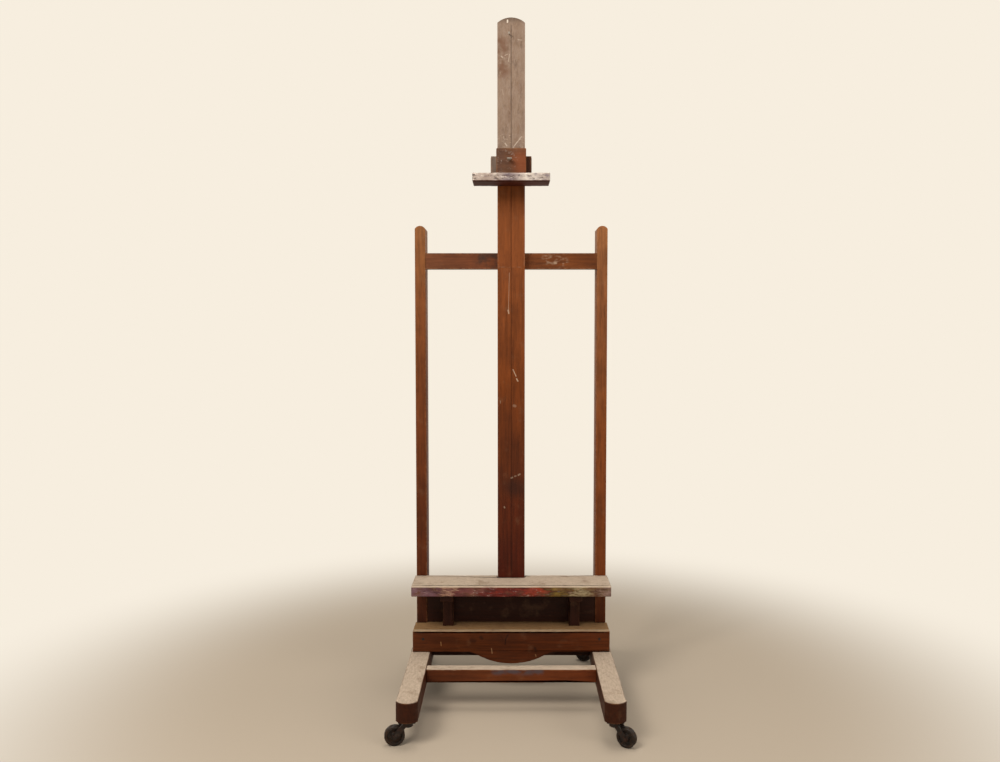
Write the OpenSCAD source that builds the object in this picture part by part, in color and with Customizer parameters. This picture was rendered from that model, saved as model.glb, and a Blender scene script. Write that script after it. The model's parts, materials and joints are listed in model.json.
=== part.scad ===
// Studio H-frame easel on casters. A carriage (tray, back board and mast) slides up between two posts and is held
// by a toothed rail and a pawl. Millimetres; +Z up, front towards -Y; origin on the floor, mid-width, midway along
// the runners.

/* [Base] */
// Length of each runner, nose to tail
runner_l = 710; // [640:5:900]
// Width of each runner
runner_w = 64; // [58:1:76]
// Height of each runner
runner_h = 62; // [54:1:80]
// Distance between the centre lines of the runners
runner_gauge = 598; // [560:1:700]
// How far the rounded nose bulges out at its middle
nose_bulge = 18; // [8:1:30]
// Height of the stretchers
stretcher_h = 43; // [34:1:50]
// Thickness of the stretchers, front to back
stretcher_t = 37; // [26:1:44]
// Distance from the runner's nose to the front face of the front stretcher
front_stretcher_setback = 258; // [180:1:300]

/* [Posts] */
// Distance over the outer faces of the posts
post_span = 640; // [600:1:740]
// Width of each post
post_w = 35; // [32:1:44]
// Depth of each post, front to back
post_d = 78; // [66:1:92]
// Height of the post tops above the floor
post_top = 1542; // [1500:1:1800]
// Distance from the runner's nose to the front faces of the posts
post_setback = 494; // [430:1:520]
// Rise of the rounded post tops
post_crown = 10; // [4:1:16]

/* [Crossbar] */
// Height of the crossbar's lower edge above the floor
crossbar_z = 1400; // [1380:1:1430]
// Height of the crossbar
crossbar_h = 52; // [44:1:60]
// Thickness of the crossbar
crossbar_t = 38; // [34:1:50]

/* [Shelf] */
// Height of the lower shelf's upper face
shelf_top = 206; // [190:1:260]
// Thickness of the lower shelf
shelf_t = 20; // [14:1:26]
// Width of the lower shelf and its apron
shelf_w = 650; // [600:1:760]
// Distance from the post fronts to the apron's front face
shelf_reach = 92; // [70:1:130]
// Thickness of the apron
apron_t = 22; // [18:1:30]
// Depth of the belly below the apron's straight edge
belly_drop = 39; // [20:1:45]
// Width of the belly, with its two hollow shoulders
belly_w = 290; // [220:1:400]

/* [Tray] */
// Height of the canvas tray's upper face, with the carriage down
tray_top = 368; // [340:1:420]
// Thickness of the canvas tray
tray_t = 36; // [26:1:42]
// Width of the canvas tray
tray_w = 650; // [600:1:800]
// Distance from the post fronts to the tray's front edge
tray_reach = 129; // [110:1:180]
// Width of each leg under the tray
leg_w = 36; // [28:1:44]
// Distance from the middle to the centre line of each tray leg
leg_x = 211; // [150:1:225]
// Height of the battens under the tray
batten_h = 23; // [16:1:30]

/* [Mast] */
// Width of the mast
mast_w = 90; // [80:1:110]
// Thickness of the mast
mast_t = 28; // [24:1:34]
// Height of the mast's top, with the carriage down
mast_top = 2209; // [2160:1:2500]
// Rise of the mast's rounded top
mast_crown = 17; // [8:1:30]
// Height of the joint between the mast's two lengths
splice_z = 1402; // [1380:1:1450]

/* [Rack] */
// Distance between the rack's teeth
rack_pitch = 25; // [25:1:30]
// Number of teeth on the rack
rack_teeth = 31; // [29:1:33]
// Width of the rack rail against the mast
rack_w = 36; // [30:1:44]
// Thickness of the rack rail with its teeth
rack_t = 18; // [18:1:20]
// Depth of the rack's teeth
tooth_depth = 8; // [6:1:8]

/* [Canvas holder] */
// Height of the holder lip's lower face
lip_z = 1667; // [1640:1:1690]
// Thickness of the lip
lip_t = 27; // [20:1:34]
// Width of the lip
lip_w = 247; // [200:1:320]
// How far the lip stands out from the mast
lip_reach = 100; // [70:1:120]
// Width of the holder's front plate
plate_w = 98; // [96:1:110]
// Height of the holder's front plate above the lip
plate_h = 93; // [80:1:110]
// Thickness of the holder's front plate
plate_t = 22; // [16:1:28]
// Thickness of the holder's side cheeks
cheek_t = 21; // [16:1:26]
// Height of the cheeks above the lip's lower face
cheek_h = 98; // [85:1:110]
// Height of the cheeks' lower ends above the lip's lower face
cheek_foot = 10; // [6:1:12]
// Sideways place of the clamp screw
clamp_x = -6; // [-10:1:10]

/* [Casters] */
// Height of the casters, floor to runner
caster_h = 74; // [70:1:84]
// Radius of the caster wheels
wheel_r = 29.6; // [26:0.1:31]
// Width of the caster wheels
wheel_w = 18; // [14:1:20]
// Distance from the swivel axis to the wheel's axle
trail = 38; // [36:1:42]
// Distance from each runner's end to the swivel axis
caster_inset = 38; // [34:1:50]

/* [Hidden] */
$fn = 64;

// Clearances
joint_gap = 0.2;       // round tenons and laps in their seats
slide_gap = 1;         // between wooden sliding faces
pin_gap = 0.08;        // between a pin and its running bore
hole_gap = 0.1;        // between a screw's shank and its hole
rest_gap = 0.3;        // under the parts that rest on another
big = 4000;            // longer than anything here

// Places worked out from the sizes above
runner_z = caster_h;
runner_top = runner_z + runner_h;
post_y = post_setback - runner_l / 2;
post_x = post_span / 2 - post_w / 2;
post_inner = post_span / 2 - post_w;
crossbar_recess = 2;
crossbar_y = post_y + crossbar_recess;
crossbar_top = crossbar_z + crossbar_h;
mast_back = crossbar_y - slide_gap;
mast_front = mast_back - mast_t;
apron_y = post_y - shelf_reach;
shelf_z = shelf_top - shelf_t;
tray_z = tray_top - tray_t;
tray_y = post_y - tray_reach;

// Tenons and pegs
tenon_l = 25;
tenon_t = 14;
tenon_shoulder = 6;
peg_r = 4;
peg_l = 46;

// Stretchers sit a little above the runners' lower faces
stretcher_z = runner_top - 2 - stretcher_h;
front_stretcher_y = -runner_l / 2 + front_stretcher_setback;
mid_stretcher_y = post_y;
rear_stretcher_y = runner_l / 2 - 2 * caster_inset - stretcher_t;

// Carriage and its guides in the posts
groove_d = 12;
groove_w = 13.2;
groove_y = post_y + 8;
tongue_gap = 0.6;
back_t = 24;
back_y = mast_back;
back_z = shelf_top + 2;
back_top = tray_z + tray_t / 2;
back_neck_w = mast_w - 6;
back_neck_top = tray_top + 100;
leg_reach = 39;
batten_w = leg_w + 7;
batten_reach = tray_reach - 22;
mast_z = tray_z + 2;
foot_recess = 0.6;
lap_l = 60;

// Rack, pawl and bracket
rack_flare = 6;
rack_back = mast_back + rack_t;
tooth_flat = 5;
nose_t = 5;
nose_play = 7.5;
nose_under = crossbar_top + 1;
nose_top = nose_under + nose_t + 2;
rest_tooth = 27;
rack_z = nose_top + nose_play - rest_tooth * rack_pitch;
rack_top = rack_z + rack_teeth * rack_pitch;
bracket_plate_t = 3;
pawl_w = 16;
pawl_boss_r = 8;
pawl_pin_r = 4;
pawl_y = crossbar_y + crossbar_t + bracket_plate_t + pawl_boss_r + 0.5;
pawl_z = crossbar_z + 4;
pawl_release = 8;
pawl_tail_t = 8;
pawl_knob_r = 8;
ear_t = 3.5;
ear_x = pawl_w / 2 + 1;

// Canvas holder
lip_y = mast_front - lip_reach;
lip_top = lip_z + lip_t;
sleeve_gap = 0.6;
cheek_x = mast_w / 2 + sleeve_gap;
plate_y = mast_front - sleeve_gap - plate_t;
holder_back_y = mast_back + sleeve_gap;
holder_web = 12;
holder_back_t = rack_t + holder_web;
holder_half = cheek_x + cheek_t + 1;
clamp_z = lip_top + 0.6 * plate_h;
clamp_r = 4;
clamp_nut_w = 18;
clamp_nut_t = 6;
stop_pin_x = -7;
stop_pin_z = mast_top - 53;
stop_pin_r = 1.8;
stop_pin_out = 13;

// Casters: corner signs and the way each one trails, in degrees
CASTER_NAMES = ["front_left", "front_right", "rear_left", "rear_right"];
CASTER_SIGNS = [[-1, -1], [1, -1], [-1, 1], [1, 1]];
CASTER_TURNS = [190, -32, 155, 160];
plate_side = 50;
plate_thick = 3;
screw_ring = 19;
kingpin_r = 5;
collar_r = 16;
collar_z = 55.3;
collar_top = caster_h - plate_thick - rest_gap;
arm_t = 4;
arm_in = wheel_w / 2 + 1;
boss_r = 9;
axle_r = 4;

oak = "sienna";
oak_dark = "saddlebrown";
dusty = "tan";
iron = "dimgray";

// ---------- shapes used again and again ----------

// A block given by its lowest corner and its size
module block(at, size) {
    translate(at) cube(size);
}

// A round pin along Y, from y0 to y1
module pin_y(x, y0, y1, z, r) {
    translate([x, y0, z]) rotate([-90, 0, 0]) cylinder(r = r, h = y1 - y0);
}

// A round pin along X, from x0 to x1
module pin_x(x0, x1, y, z, r) {
    translate([x0, y, z]) rotate([0, 90, 0]) cylinder(r = r, h = x1 - x0);
}

// A wood screw lying along +Y: countersunk head at the front, shank behind it
module flat_screw_y(x, y, z, l, r = 2.4, head_r = 4.6) {
    translate([x, y, z]) rotate([-90, 0, 0]) {
        cylinder(r1 = head_r, r2 = r, h = head_r - r);
        cylinder(r = r, h = l);
    }
}

// The hole that such a screw sits in
module flat_screw_hole_y(x, y, z, l, r = 2.4, head_r = 4.6) {
    translate([x, y, z]) rotate([-90, 0, 0]) {
        translate([0, 0, -0.01]) cylinder(r1 = head_r + 0.3, r2 = r + 0.3, h = head_r - r + 0.01);
        cylinder(r = r + hole_gap, h = l + 1);
    }
}

// A screw along +Z with a low round head below it; at is the underside of the board it holds
module round_screw_z(at, l, r = 2, head_r = 3.5, head_h = 1.6) {
    translate(at) {
        translate([0, 0, -head_h]) cylinder(r1 = head_r * 0.7, r2 = head_r, h = head_h);
        cylinder(r = r, h = l);
    }
}

// Radius of an arc from its half-chord and its rise
function arc_r(half, rise) = (half * half + rise * rise) / (2 * rise);

// Points of an arc over x = -half..half that rises by rise at the middle
function arc_points(half, rise, n = 16) =
    let (r = arc_r(half, rise), a = asin(half / r))
    [for (i = [0:n]) let (t = a - 2 * a * i / n) [r * sin(t), r * cos(t) - (r - rise)]];

// ---------- base ----------

// Outline of a runner from above: straight sides and a bulged nose at both ends
module runner_outline() {
    half = runner_l / 2 - nose_bulge;
    nose = arc_points(runner_w / 2, nose_bulge);
    polygon(concat([for (p = nose) [p[0], p[1] + half]], [for (p = nose) [-p[0], -p[1] - half]]));
}

// Mortise in a runner for a stretcher that comes from the inner side
module stretcher_mortise(side, y) {
    inner = runner_gauge / 2 - runner_w / 2;
    x0 = side > 0 ? inner - 1 : -inner - tenon_l;
    block([x0, y + (stretcher_t - tenon_t) / 2 - joint_gap, stretcher_z + tenon_shoulder - joint_gap],
          [tenon_l + 1, tenon_t + 2 * joint_gap, stretcher_h - 2 * tenon_shoulder + 2 * joint_gap]);
}

module post_tenon(side, gap = 0) {
    l = post_d - 28 + 2 * gap;
    block([side * post_x - 10 - gap, post_y + 14 - gap, runner_top - 30 - gap], [20 + 2 * gap, l, 40]);
}

module runner(side) {
    color(oak_dark) difference() {
        translate([side * runner_gauge / 2, 0, runner_z]) linear_extrude(runner_h) runner_outline();
        for (y = [front_stretcher_y, mid_stretcher_y, rear_stretcher_y]) stretcher_mortise(side, y);
        intersection() {
            post_tenon(side, joint_gap);
            block([-big / 2, -big / 2, 0], [big, big, runner_top + 1]);
        }
        runner_peg(side, hole_gap);
        for (end = [-1, 1]) caster_screw_set(side, end, hole_gap);
    }
}

module stretcher(y) {
    inner = runner_gauge / 2 - runner_w / 2;
    color(oak) union() {
        block([-inner, y, stretcher_z], [2 * inner, stretcher_t, stretcher_h]);
        block([-inner - tenon_l + 1, y + (stretcher_t - tenon_t) / 2, stretcher_z + tenon_shoulder],
              [2 * (inner + tenon_l - 1), tenon_t, stretcher_h - 2 * tenon_shoulder]);
    }
}

// Rear strut from a runner up to its post
module brace(side) {
    foot = post_y + post_d;
    half = 14;
    color(oak_dark) translate([side * post_x - half, 0, 0]) rotate([90, 0, 90]) linear_extrude(2 * half)
        polygon([[foot, runner_top + 110], [foot, runner_top + 180], [foot + 118, runner_top],
                 [foot + 68, runner_top]]);
}

// ---------- posts and crossbar ----------

module crossbar_tenon(side, gap = 0) {
    x0 = side > 0 ? post_inner - 1 : -post_inner - tenon_l - gap;
    block([x0, crossbar_y + 12 - gap, crossbar_z + tenon_shoulder - gap],
          [tenon_l + 1 + gap, tenon_t + 2 * gap, crossbar_h - 2 * tenon_shoulder + 2 * gap]);
}

module post(side) {
    groove_x = side > 0 ? post_inner - 1 : -post_inner - groove_d;
    color(oak) difference() {
        union() {
            translate([side * post_x, post_y + post_d, 0]) rotate([90, 0, 0]) linear_extrude(post_d)
                polygon(concat([[-post_w / 2, runner_top], [post_w / 2, runner_top]],
                    [for (p = arc_points(post_w / 2, post_crown)) [p[0], p[1] + post_top - post_crown]]));
            intersection() {
                post_tenon(side);
                block([-big / 2, -big / 2, 0], [big, big, runner_top + 1]);
            }
        }
        block([groove_x, groove_y, shelf_top], [groove_d + 1, groove_w, crossbar_z - shelf_top - 6]);
        crossbar_tenon(side, joint_gap);
        crossbar_peg(side, hole_gap);
        runner_peg(side, hole_gap);
    }
}

module crossbar() {
    notch = rack_w / 2 + slide_gap;
    color(oak) difference() {
        union() {
            block([-post_inner, crossbar_y, crossbar_z], [2 * post_inner, crossbar_t, crossbar_h]);
            crossbar_tenon(-1);
            crossbar_tenon(1);
        }
        translate([0, 0, crossbar_z - 1]) linear_extrude(crossbar_h + 2)
            polygon([[-notch, crossbar_y - 1], [notch, crossbar_y - 1],
                     [notch + rack_flare, rack_back + slide_gap], [-notch - rack_flare, rack_back + slide_gap]]);
        for (side = [-1, 1]) crossbar_peg(side, hole_gap);
        bracket_screw_set(hole_gap);
    }
}

module crossbar_peg(side, gap = 0) {
    y1 = post_y + post_d;
    pin_y(side * (post_inner + tenon_l / 2), y1 - peg_l - 14 - gap, y1 + gap, crossbar_z + crossbar_h / 2, peg_r + gap);
}

module runner_peg(side, gap = 0) {
    outer = runner_gauge / 2 + runner_w / 2;
    x0 = side > 0 ? outer - peg_l : -outer;
    pin_x(x0 - gap, x0 + peg_l + gap, post_y + post_d / 2, runner_top - 15, peg_r + gap);
}

module tenon_pegs() {
    color(dusty) for (side = [-1, 1]) {
        crossbar_peg(side);
        runner_peg(side);
    }
}

// ---------- lower shelf ----------

bearer_w = 30;
bearer_x = post_x - 12;

module bearer(side) {
    color(oak_dark) difference() {
        block([side * bearer_x - bearer_w / 2, apron_y + apron_t, runner_top],
              [bearer_w, post_y - apron_y - apron_t, shelf_z - runner_top]);
        apron_screw_hole(side);
    }
}

module shelf_board() {
    rear = post_y + post_d - 12;
    color(dusty) difference() {
        block([-shelf_w / 2, apron_y + apron_t, shelf_z], [shelf_w, rear - apron_y - apron_t, shelf_t]);
        for (side = [-1, 1])
            block([side > 0 ? post_inner - 0.5 : -shelf_w / 2 - 1, post_y, shelf_z - 1],
                  [shelf_w / 2 - post_inner + 1.5, big, shelf_t + 2]);
    }
}

// The apron's lower edge: straight, then a hollow shoulder, then the round belly
module apron() {
    shoulder = 0.1 * belly_w;
    drop = belly_drop;
    n = 12;
    wave = [for (i = [0:n]) let (t = i / n) [-belly_w / 2 + t * shoulder, -drop * 0.2 * (1 - cos(90 * t))]];
    belly_half = belly_w / 2 - shoulder;
    belly_rise = drop * 0.8;
    belly = [for (p = arc_points(belly_half, belly_rise)) [-p[0], -drop * 0.2 - p[1]]];
    edge = concat(wave, belly, [for (i = [0:n]) [-wave[n - i][0], wave[n - i][1]]]);
    color(oak) difference() {
        translate([0, apron_y + apron_t, runner_top]) rotate([90, 0, 0]) linear_extrude(apron_t)
            polygon(concat([[-shelf_w / 2, 0]], edge,
                [[shelf_w / 2, 0], [shelf_w / 2, shelf_top - runner_top], [-shelf_w / 2, shelf_top - runner_top]]));
        for (side = [-1, 1]) apron_screw_hole(side);
    }
}

apron_screw_l = apron_t + 24;
apron_screw_z = shelf_z - 6;

module apron_screw_hole(side) {
    flat_screw_hole_y(side * bearer_x, apron_y, apron_screw_z, apron_screw_l);
}

module apron_screws() {
    color(iron) for (side = [-1, 1]) flat_screw_y(side * bearer_x, apron_y, apron_screw_z, apron_screw_l);
}

// ---------- carriage ----------

// The tray: notched at the back for the mast in the middle and for the two posts
module tray_board() {
    post_notch = tray_w / 2 - post_inner + slide_gap;
    color(dusty) difference() {
        block([-tray_w / 2, tray_y, tray_z], [tray_w, back_y - tray_y, tray_t]);
        block([-mast_w / 2 - 0.4, mast_front - 0.4, tray_z - 1], [mast_w + 0.8, big, tray_t + 2]);
        for (side = [-1, 1])
            block([side > 0 ? tray_w / 2 - post_notch : -tray_w / 2 - 1, post_y - slide_gap, tray_z - 1],
                  [post_notch + 1, big, tray_t + 2]);
    }
}

// Back board: tongues at its ends run in the posts, and its neck laps the foot of the mast
module carriage_back() {
    half = post_inner - slide_gap;
    tongue = post_inner + groove_d - slide_gap;
    color(oak_dark) difference() {
        union() {
            block([-half, back_y, back_z], [2 * half, back_t, back_top - back_z]);
            block([-back_neck_w / 2, back_y, back_z], [back_neck_w, back_t, back_neck_top - back_z]);
            block([-tongue, groove_y + tongue_gap, back_z],
                  [2 * tongue, groove_w - 2 * tongue_gap, back_top - back_z]);
        }
        mast_screw_set(hole_gap);
    }
}

module tray_leg(side) {
    color(oak_dark)
        block([side * leg_x - leg_w / 2, post_y - leg_reach, shelf_top + rest_gap],
              [leg_w, back_y - post_y + leg_reach, tray_z - batten_h - shelf_top - rest_gap]);
}

module tray_batten(side) {
    color(oak_dark)
        block([side * leg_x - batten_w / 2, post_y - batten_reach, tray_z - batten_h],
              [batten_w, back_y - post_y + batten_reach, batten_h]);
}

// A fine centre line is cut down the mast's face
module centre_line(z0, z1) {
    line_w = 1.6;
    line_d = 1.2;
    block([-line_w / 2, mast_front - 1, z0], [line_w, line_d + 1, z1 - z0]);
}

module mast_lower() {
    color(oak) difference() {
        union() {
            block([-mast_w / 2, mast_front, tray_top + 1], [mast_w, mast_t, splice_z - tray_top - 1]);
            block([-mast_w / 2, mast_front + foot_recess, mast_z], [mast_w, mast_t - foot_recess, tray_top + 2 - mast_z]);
            block([-mast_w / 2, mast_front + mast_t / 2, splice_z - 1], [mast_w, mast_t / 2, lap_l + 1]);
        }
        centre_line(tray_top + 10, splice_z + 1);
        rack_screw_set(hole_gap);
        mast_screw_set(hole_gap);
    }
}

module mast_upper() {
    shaft_top = mast_top - mast_crown;
    color(dusty) difference() {
        translate([0, mast_back, 0]) rotate([90, 0, 0]) linear_extrude(mast_t)
            polygon(concat([[-mast_w / 2, splice_z + joint_gap], [mast_w / 2, splice_z + joint_gap]],
                [for (p = arc_points(mast_w / 2, mast_crown)) [p[0], p[1] + shaft_top]]));
        block([-mast_w, mast_front + mast_t / 2, 0], [2 * mast_w, mast_t, splice_z + lap_l]);
        centre_line(splice_z - 1, shaft_top - 12);
        rack_screw_set(hole_gap);
        pin_y(stop_pin_x, mast_front - 1, mast_front + 16, stop_pin_z, stop_pin_r + hole_gap);
    }
}

// Side view of the rack's teeth: flat below to sit on the pawl, sloped above to ride over it
module rack_profile() {
    root = rack_back - tooth_depth;
    teeth = [for (k = [0:rack_teeth - 1]) let (z = rack_z + k * rack_pitch)
        each [[root, z], [rack_back, z], [rack_back, z + tooth_flat], [root, z + tooth_flat + tooth_depth]]];
    polygon(concat([[mast_back, rack_top], [mast_back, rack_z]], teeth, [[root, rack_top]]));
}

module rack_rail() {
    color(oak_dark) difference() {
        intersection() {
            translate([-rack_w, 0, 0]) rotate([90, 0, 90]) linear_extrude(2 * rack_w) rack_profile();
            translate([0, 0, rack_z - 1]) linear_extrude(rack_top - rack_z + 2)
                polygon([[-rack_w / 2, mast_back], [rack_w / 2, mast_back],
                         [rack_w / 2 + rack_flare, rack_back], [-rack_w / 2 - rack_flare, rack_back]]);
        }
        rack_screw_set(hole_gap);
    }
}

// Screws through every seventh tooth gap into the mast, and their holes
rack_screw_r = 2.2;
rack_screw_head = 4.2;
module rack_screw_set(gap = 0) {
    root = rack_back - tooth_depth;
    for (k = [1:7:rack_teeth - 1]) {
        z = rack_z + k * rack_pitch + (tooth_flat + tooth_depth + rack_pitch) / 2;
        translate([0, root, z]) rotate([90, 0, 0]) {
            cylinder(r1 = rack_screw_head + gap, r2 = rack_screw_r + gap, h = rack_screw_head - rack_screw_r);
            cylinder(r = rack_screw_r + gap, h = root - mast_front - mast_t / 3 + gap);
        }
    }
}

module rack_screws() {
    color(iron) rack_screw_set();
}

// Screws from behind through the neck into the foot of the mast
module mast_screw_set(gap = 0) {
    for (x = [-back_neck_w / 4, back_neck_w / 4], z = [tray_top + 20, back_neck_top - 25])
        translate([x, back_y + back_t, z]) rotate([90, 0, 0]) {
            if (gap == 0) translate([0, 0, -2]) cylinder(r1 = 3.4, r2 = 4.8, h = 2);
            translate([0, 0, gap == 0 ? 0 : -1]) cylinder(r = 2.4 + gap, h = back_t + 16 + (gap == 0 ? 0 : 1 + gap));
        }
}

module mast_screws() {
    color(iron) mast_screw_set();
}

// Stop pin that keeps the canvas holder on the mast
module mast_stop_pin() {
    color(iron) union() {
        pin_y(stop_pin_x, mast_front - stop_pin_out, mast_front + 16 - 1, stop_pin_z, stop_pin_r);
        pin_y(stop_pin_x, mast_front - stop_pin_out - 1.5, mast_front - stop_pin_out, stop_pin_z, 3.4);
    }
}

// ---------- canvas holder ----------

module holder_lip() {
    color(dusty) difference() {
        block([-lip_w / 2, lip_y, lip_z], [lip_w, lip_reach, lip_t]);
        block([-mast_w / 2 - sleeve_gap, mast_front - sleeve_gap, lip_z - 1],
              [mast_w + 2 * sleeve_gap, big, lip_t + 2]);
        holder_screw_set(hole_gap);
        plate_screw_set(hole_gap);
    }
}

module holder_front_plate() {
    soft = 4;
    nut = clamp_nut_w / 2 + joint_gap;
    nut_y = plate_y + plate_t - clamp_nut_t;
    color(oak) difference() {
        translate([0, plate_y + plate_t, lip_top]) rotate([90, 0, 0]) linear_extrude(plate_t)
            polygon([[-plate_w / 2, 0], [plate_w / 2, 0], [plate_w / 2, plate_h - soft],
                     [plate_w / 2 - soft, plate_h], [-plate_w / 2 + soft, plate_h], [-plate_w / 2, plate_h - soft]]);
        pin_y(clamp_x, plate_y - 1, plate_y + plate_t + 1, clamp_z, clamp_r + 0.3);
        block([clamp_x - nut, nut_y - joint_gap, clamp_z - nut], [2 * nut, big, 2 * nut]);
        plate_screw_set(hole_gap);
    }
}

module holder_cheek(side) {
    x0 = side > 0 ? cheek_x : -cheek_x - cheek_t;
    color(oak_dark) difference() {
        block([x0, mast_front, lip_z + cheek_foot], [cheek_t, holder_back_y - mast_front, cheek_h - cheek_foot]);
        holder_screw_set(hole_gap);
    }
}

module holder_back_plate() {
    slot = rack_w / 2 + slide_gap;
    color(oak_dark) difference() {
        block([-holder_half, holder_back_y, lip_z + cheek_foot],
              [2 * holder_half, holder_back_t, cheek_h - cheek_foot]);
        translate([0, 0, lip_z - 1]) linear_extrude(cheek_h + 2)
            polygon([[-slot, holder_back_y - 1], [slot, holder_back_y - 1],
                     [slot + rack_flare, rack_back + slide_gap], [-slot - rack_flare, rack_back + slide_gap]]);
        holder_screw_set(hole_gap);
    }
}

// Two long screws reach through the cheeks into the lip, and two shorter ones hold the cheeks
module holder_screw_set(gap = 0) {
    y1 = holder_back_y + holder_back_t;
    for (side = [-1, 1], long = [0, 1]) {
        z = long == 1 ? lip_z + lip_t - 9 : lip_z + cheek_h - 22;
        y0 = long == 1 ? mast_front - 28 : mast_front + 8;
        x = side * (cheek_x + cheek_t / 2);
        pin_y(x, y0 - gap, y1 + gap, z, 2.4 + gap);
        if (gap == 0) translate([x, y1, z]) rotate([-90, 0, 0]) cylinder(r1 = 5, r2 = 3.4, h = 2.4);
    }
}

// Screws from under the lip into the front plate
module plate_screw_set(gap = 0) {
    for (side = [-1, 1]) {
        x = side * (plate_w / 2 - 14);
        translate([x, plate_y + plate_t / 2, lip_z]) {
            cylinder(r1 = 4.6 + gap, r2 = 2.4 + gap, h = 2.2);
            cylinder(r = 2.4 + gap, h = lip_t + 24 + gap);
        }
    }
}

module holder_screws() {
    color(iron) {
        holder_screw_set();
        plate_screw_set();
    }
}

module clamp_nut() {
    half = clamp_nut_w / 2;
    y0 = plate_y + plate_t - clamp_nut_t;
    color(iron) difference() {
        block([clamp_x - half, y0, clamp_z - half], [2 * half, clamp_nut_t, 2 * half]);
        pin_y(clamp_x, y0 - 1, y0 + clamp_nut_t + 1, clamp_z, clamp_r + pin_gap);
    }
}

module clamp_screw() {
    neck = 12;
    tab_w = 15;
    tab_l = 12;
    tab_t = 4;
    color(iron) union() {
        pin_y(clamp_x, plate_y - neck, mast_front - 0.3, clamp_z, clamp_r);
        block([clamp_x - tab_w / 2, plate_y - neck - tab_l, clamp_z - tab_t / 2], [tab_w, tab_l + 2, tab_t]);
    }
}

// ---------- pawl and its bracket ----------

// Drawn engaged with the rack, then turned back to where it is held clear
module pawl() {
    nose_y = rack_back - tooth_depth + 1.5;
    arm_y = pawl_y - pawl_boss_r + 2;
    color(iron) translate([0, pawl_y, pawl_z]) rotate([-pawl_release, 0, 0]) translate([0, -pawl_y, -pawl_z])
        difference() {
            union() {
                pin_x(-pawl_w / 2, pawl_w / 2, pawl_y, pawl_z, pawl_boss_r);
                translate([-pawl_w / 2, 0, 0]) rotate([90, 0, 90]) linear_extrude(pawl_w)
                    polygon([[arm_y, pawl_z], [pawl_y + 6, pawl_z], [pawl_y + 6, nose_top - 4],
                             [pawl_y + 2, nose_top], [nose_y, nose_top], [nose_y, nose_top - nose_t],
                             [nose_y + 9, nose_under], [arm_y, nose_under]]);
                translate([-pawl_tail_t / 2, 0, 0]) rotate([90, 0, 90]) linear_extrude(pawl_tail_t)
                    polygon([[pawl_y, pawl_z - 6], [pawl_y + 5, pawl_z + 5], [pawl_y + 44, pawl_z - 20],
                             [pawl_y + 38, pawl_z - 28]]);
                pin_x(-pawl_w / 2, pawl_w / 2, pawl_y + 41, pawl_z - 24, pawl_knob_r);
            }
            pin_x(-pawl_w, pawl_w, pawl_y, pawl_z, pawl_pin_r + pin_gap);
        }
}

module pawl_bracket() {
    plate_y0 = crossbar_y + crossbar_t;
    color(iron) difference() {
        union() {
            block([-26, plate_y0, crossbar_z + 2], [52, bracket_plate_t, crossbar_h - 6]);
            for (side = [-1, 1]) {
                x0 = side > 0 ? ear_x : -ear_x - ear_t;
                pin_x(x0, x0 + ear_t, pawl_y, pawl_z, pawl_boss_r);
                block([x0, plate_y0, crossbar_z + 2], [ear_t, pawl_y - plate_y0, 26]);
            }
        }
        pin_x(-big / 2, big / 2, pawl_y, pawl_z, pawl_pin_r + pin_gap);
        bracket_screw_set(hole_gap);
    }
}

module pawl_pin() {
    half = ear_x + ear_t + 0.5;
    color(iron) union() {
        pin_x(-half, half, pawl_y, pawl_z, pawl_pin_r);
        pin_x(half, half + 2, pawl_y, pawl_z, 6);
        pin_x(-half - 2, -half, pawl_y, pawl_z, 6);
    }
}

module bracket_screw_set(gap = 0) {
    y1 = crossbar_y + crossbar_t + bracket_plate_t;
    for (x = [-20, 20], z = [crossbar_z + 10, crossbar_top - 14]) {
        pin_y(x, y1 - 16 - gap, y1 + (gap == 0 ? 0 : 1), z, 1.8 + gap);
        if (gap == 0) translate([x, y1, z]) rotate([-90, 0, 0]) cylinder(r1 = 3.4, r2 = 2.2, h = 1.6);
    }
}

module bracket_screws() {
    color(iron) bracket_screw_set();
}

// ---------- casters ----------

// Places its children at a caster: origin on the floor below the swivel axis, +X the way it trails
module at_caster(i) {
    s = CASTER_SIGNS[i];
    translate([s[0] * runner_gauge / 2, s[1] * (runner_l / 2 - caster_inset), 0]) rotate([0, 0, CASTER_TURNS[i]])
        children();
}

module caster_screw_set(side, end, gap = 0) {
    for (dx = [-screw_ring, screw_ring], dy = [-screw_ring, screw_ring])
        translate([side * runner_gauge / 2 + dx, end * (runner_l / 2 - caster_inset) + dy, caster_h - plate_thick])
            cylinder(r = 2 + gap, h = 20 + gap);
}

module caster_screws() {
    color(iron) for (side = [-1, 1], end = [-1, 1], dx = [-screw_ring, screw_ring], dy = [-screw_ring, screw_ring])
        round_screw_z([side * runner_gauge / 2 + dx, end * (runner_l / 2 - caster_inset) + dy,
                       caster_h - plate_thick], 20);
}

module caster_plate(i) {
    s = CASTER_SIGNS[i];
    x = s[0] * runner_gauge / 2;
    y = s[1] * (runner_l / 2 - caster_inset);
    color(iron) difference() {
        block([x - plate_side / 2, y - plate_side / 2, caster_h - plate_thick], [plate_side, plate_side, plate_thick]);
        translate([x, y, 0]) cylinder(r = kingpin_r + hole_gap, h = caster_h + 1);
        caster_screw_set(s[0], s[1], hole_gap);
    }
}

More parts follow.
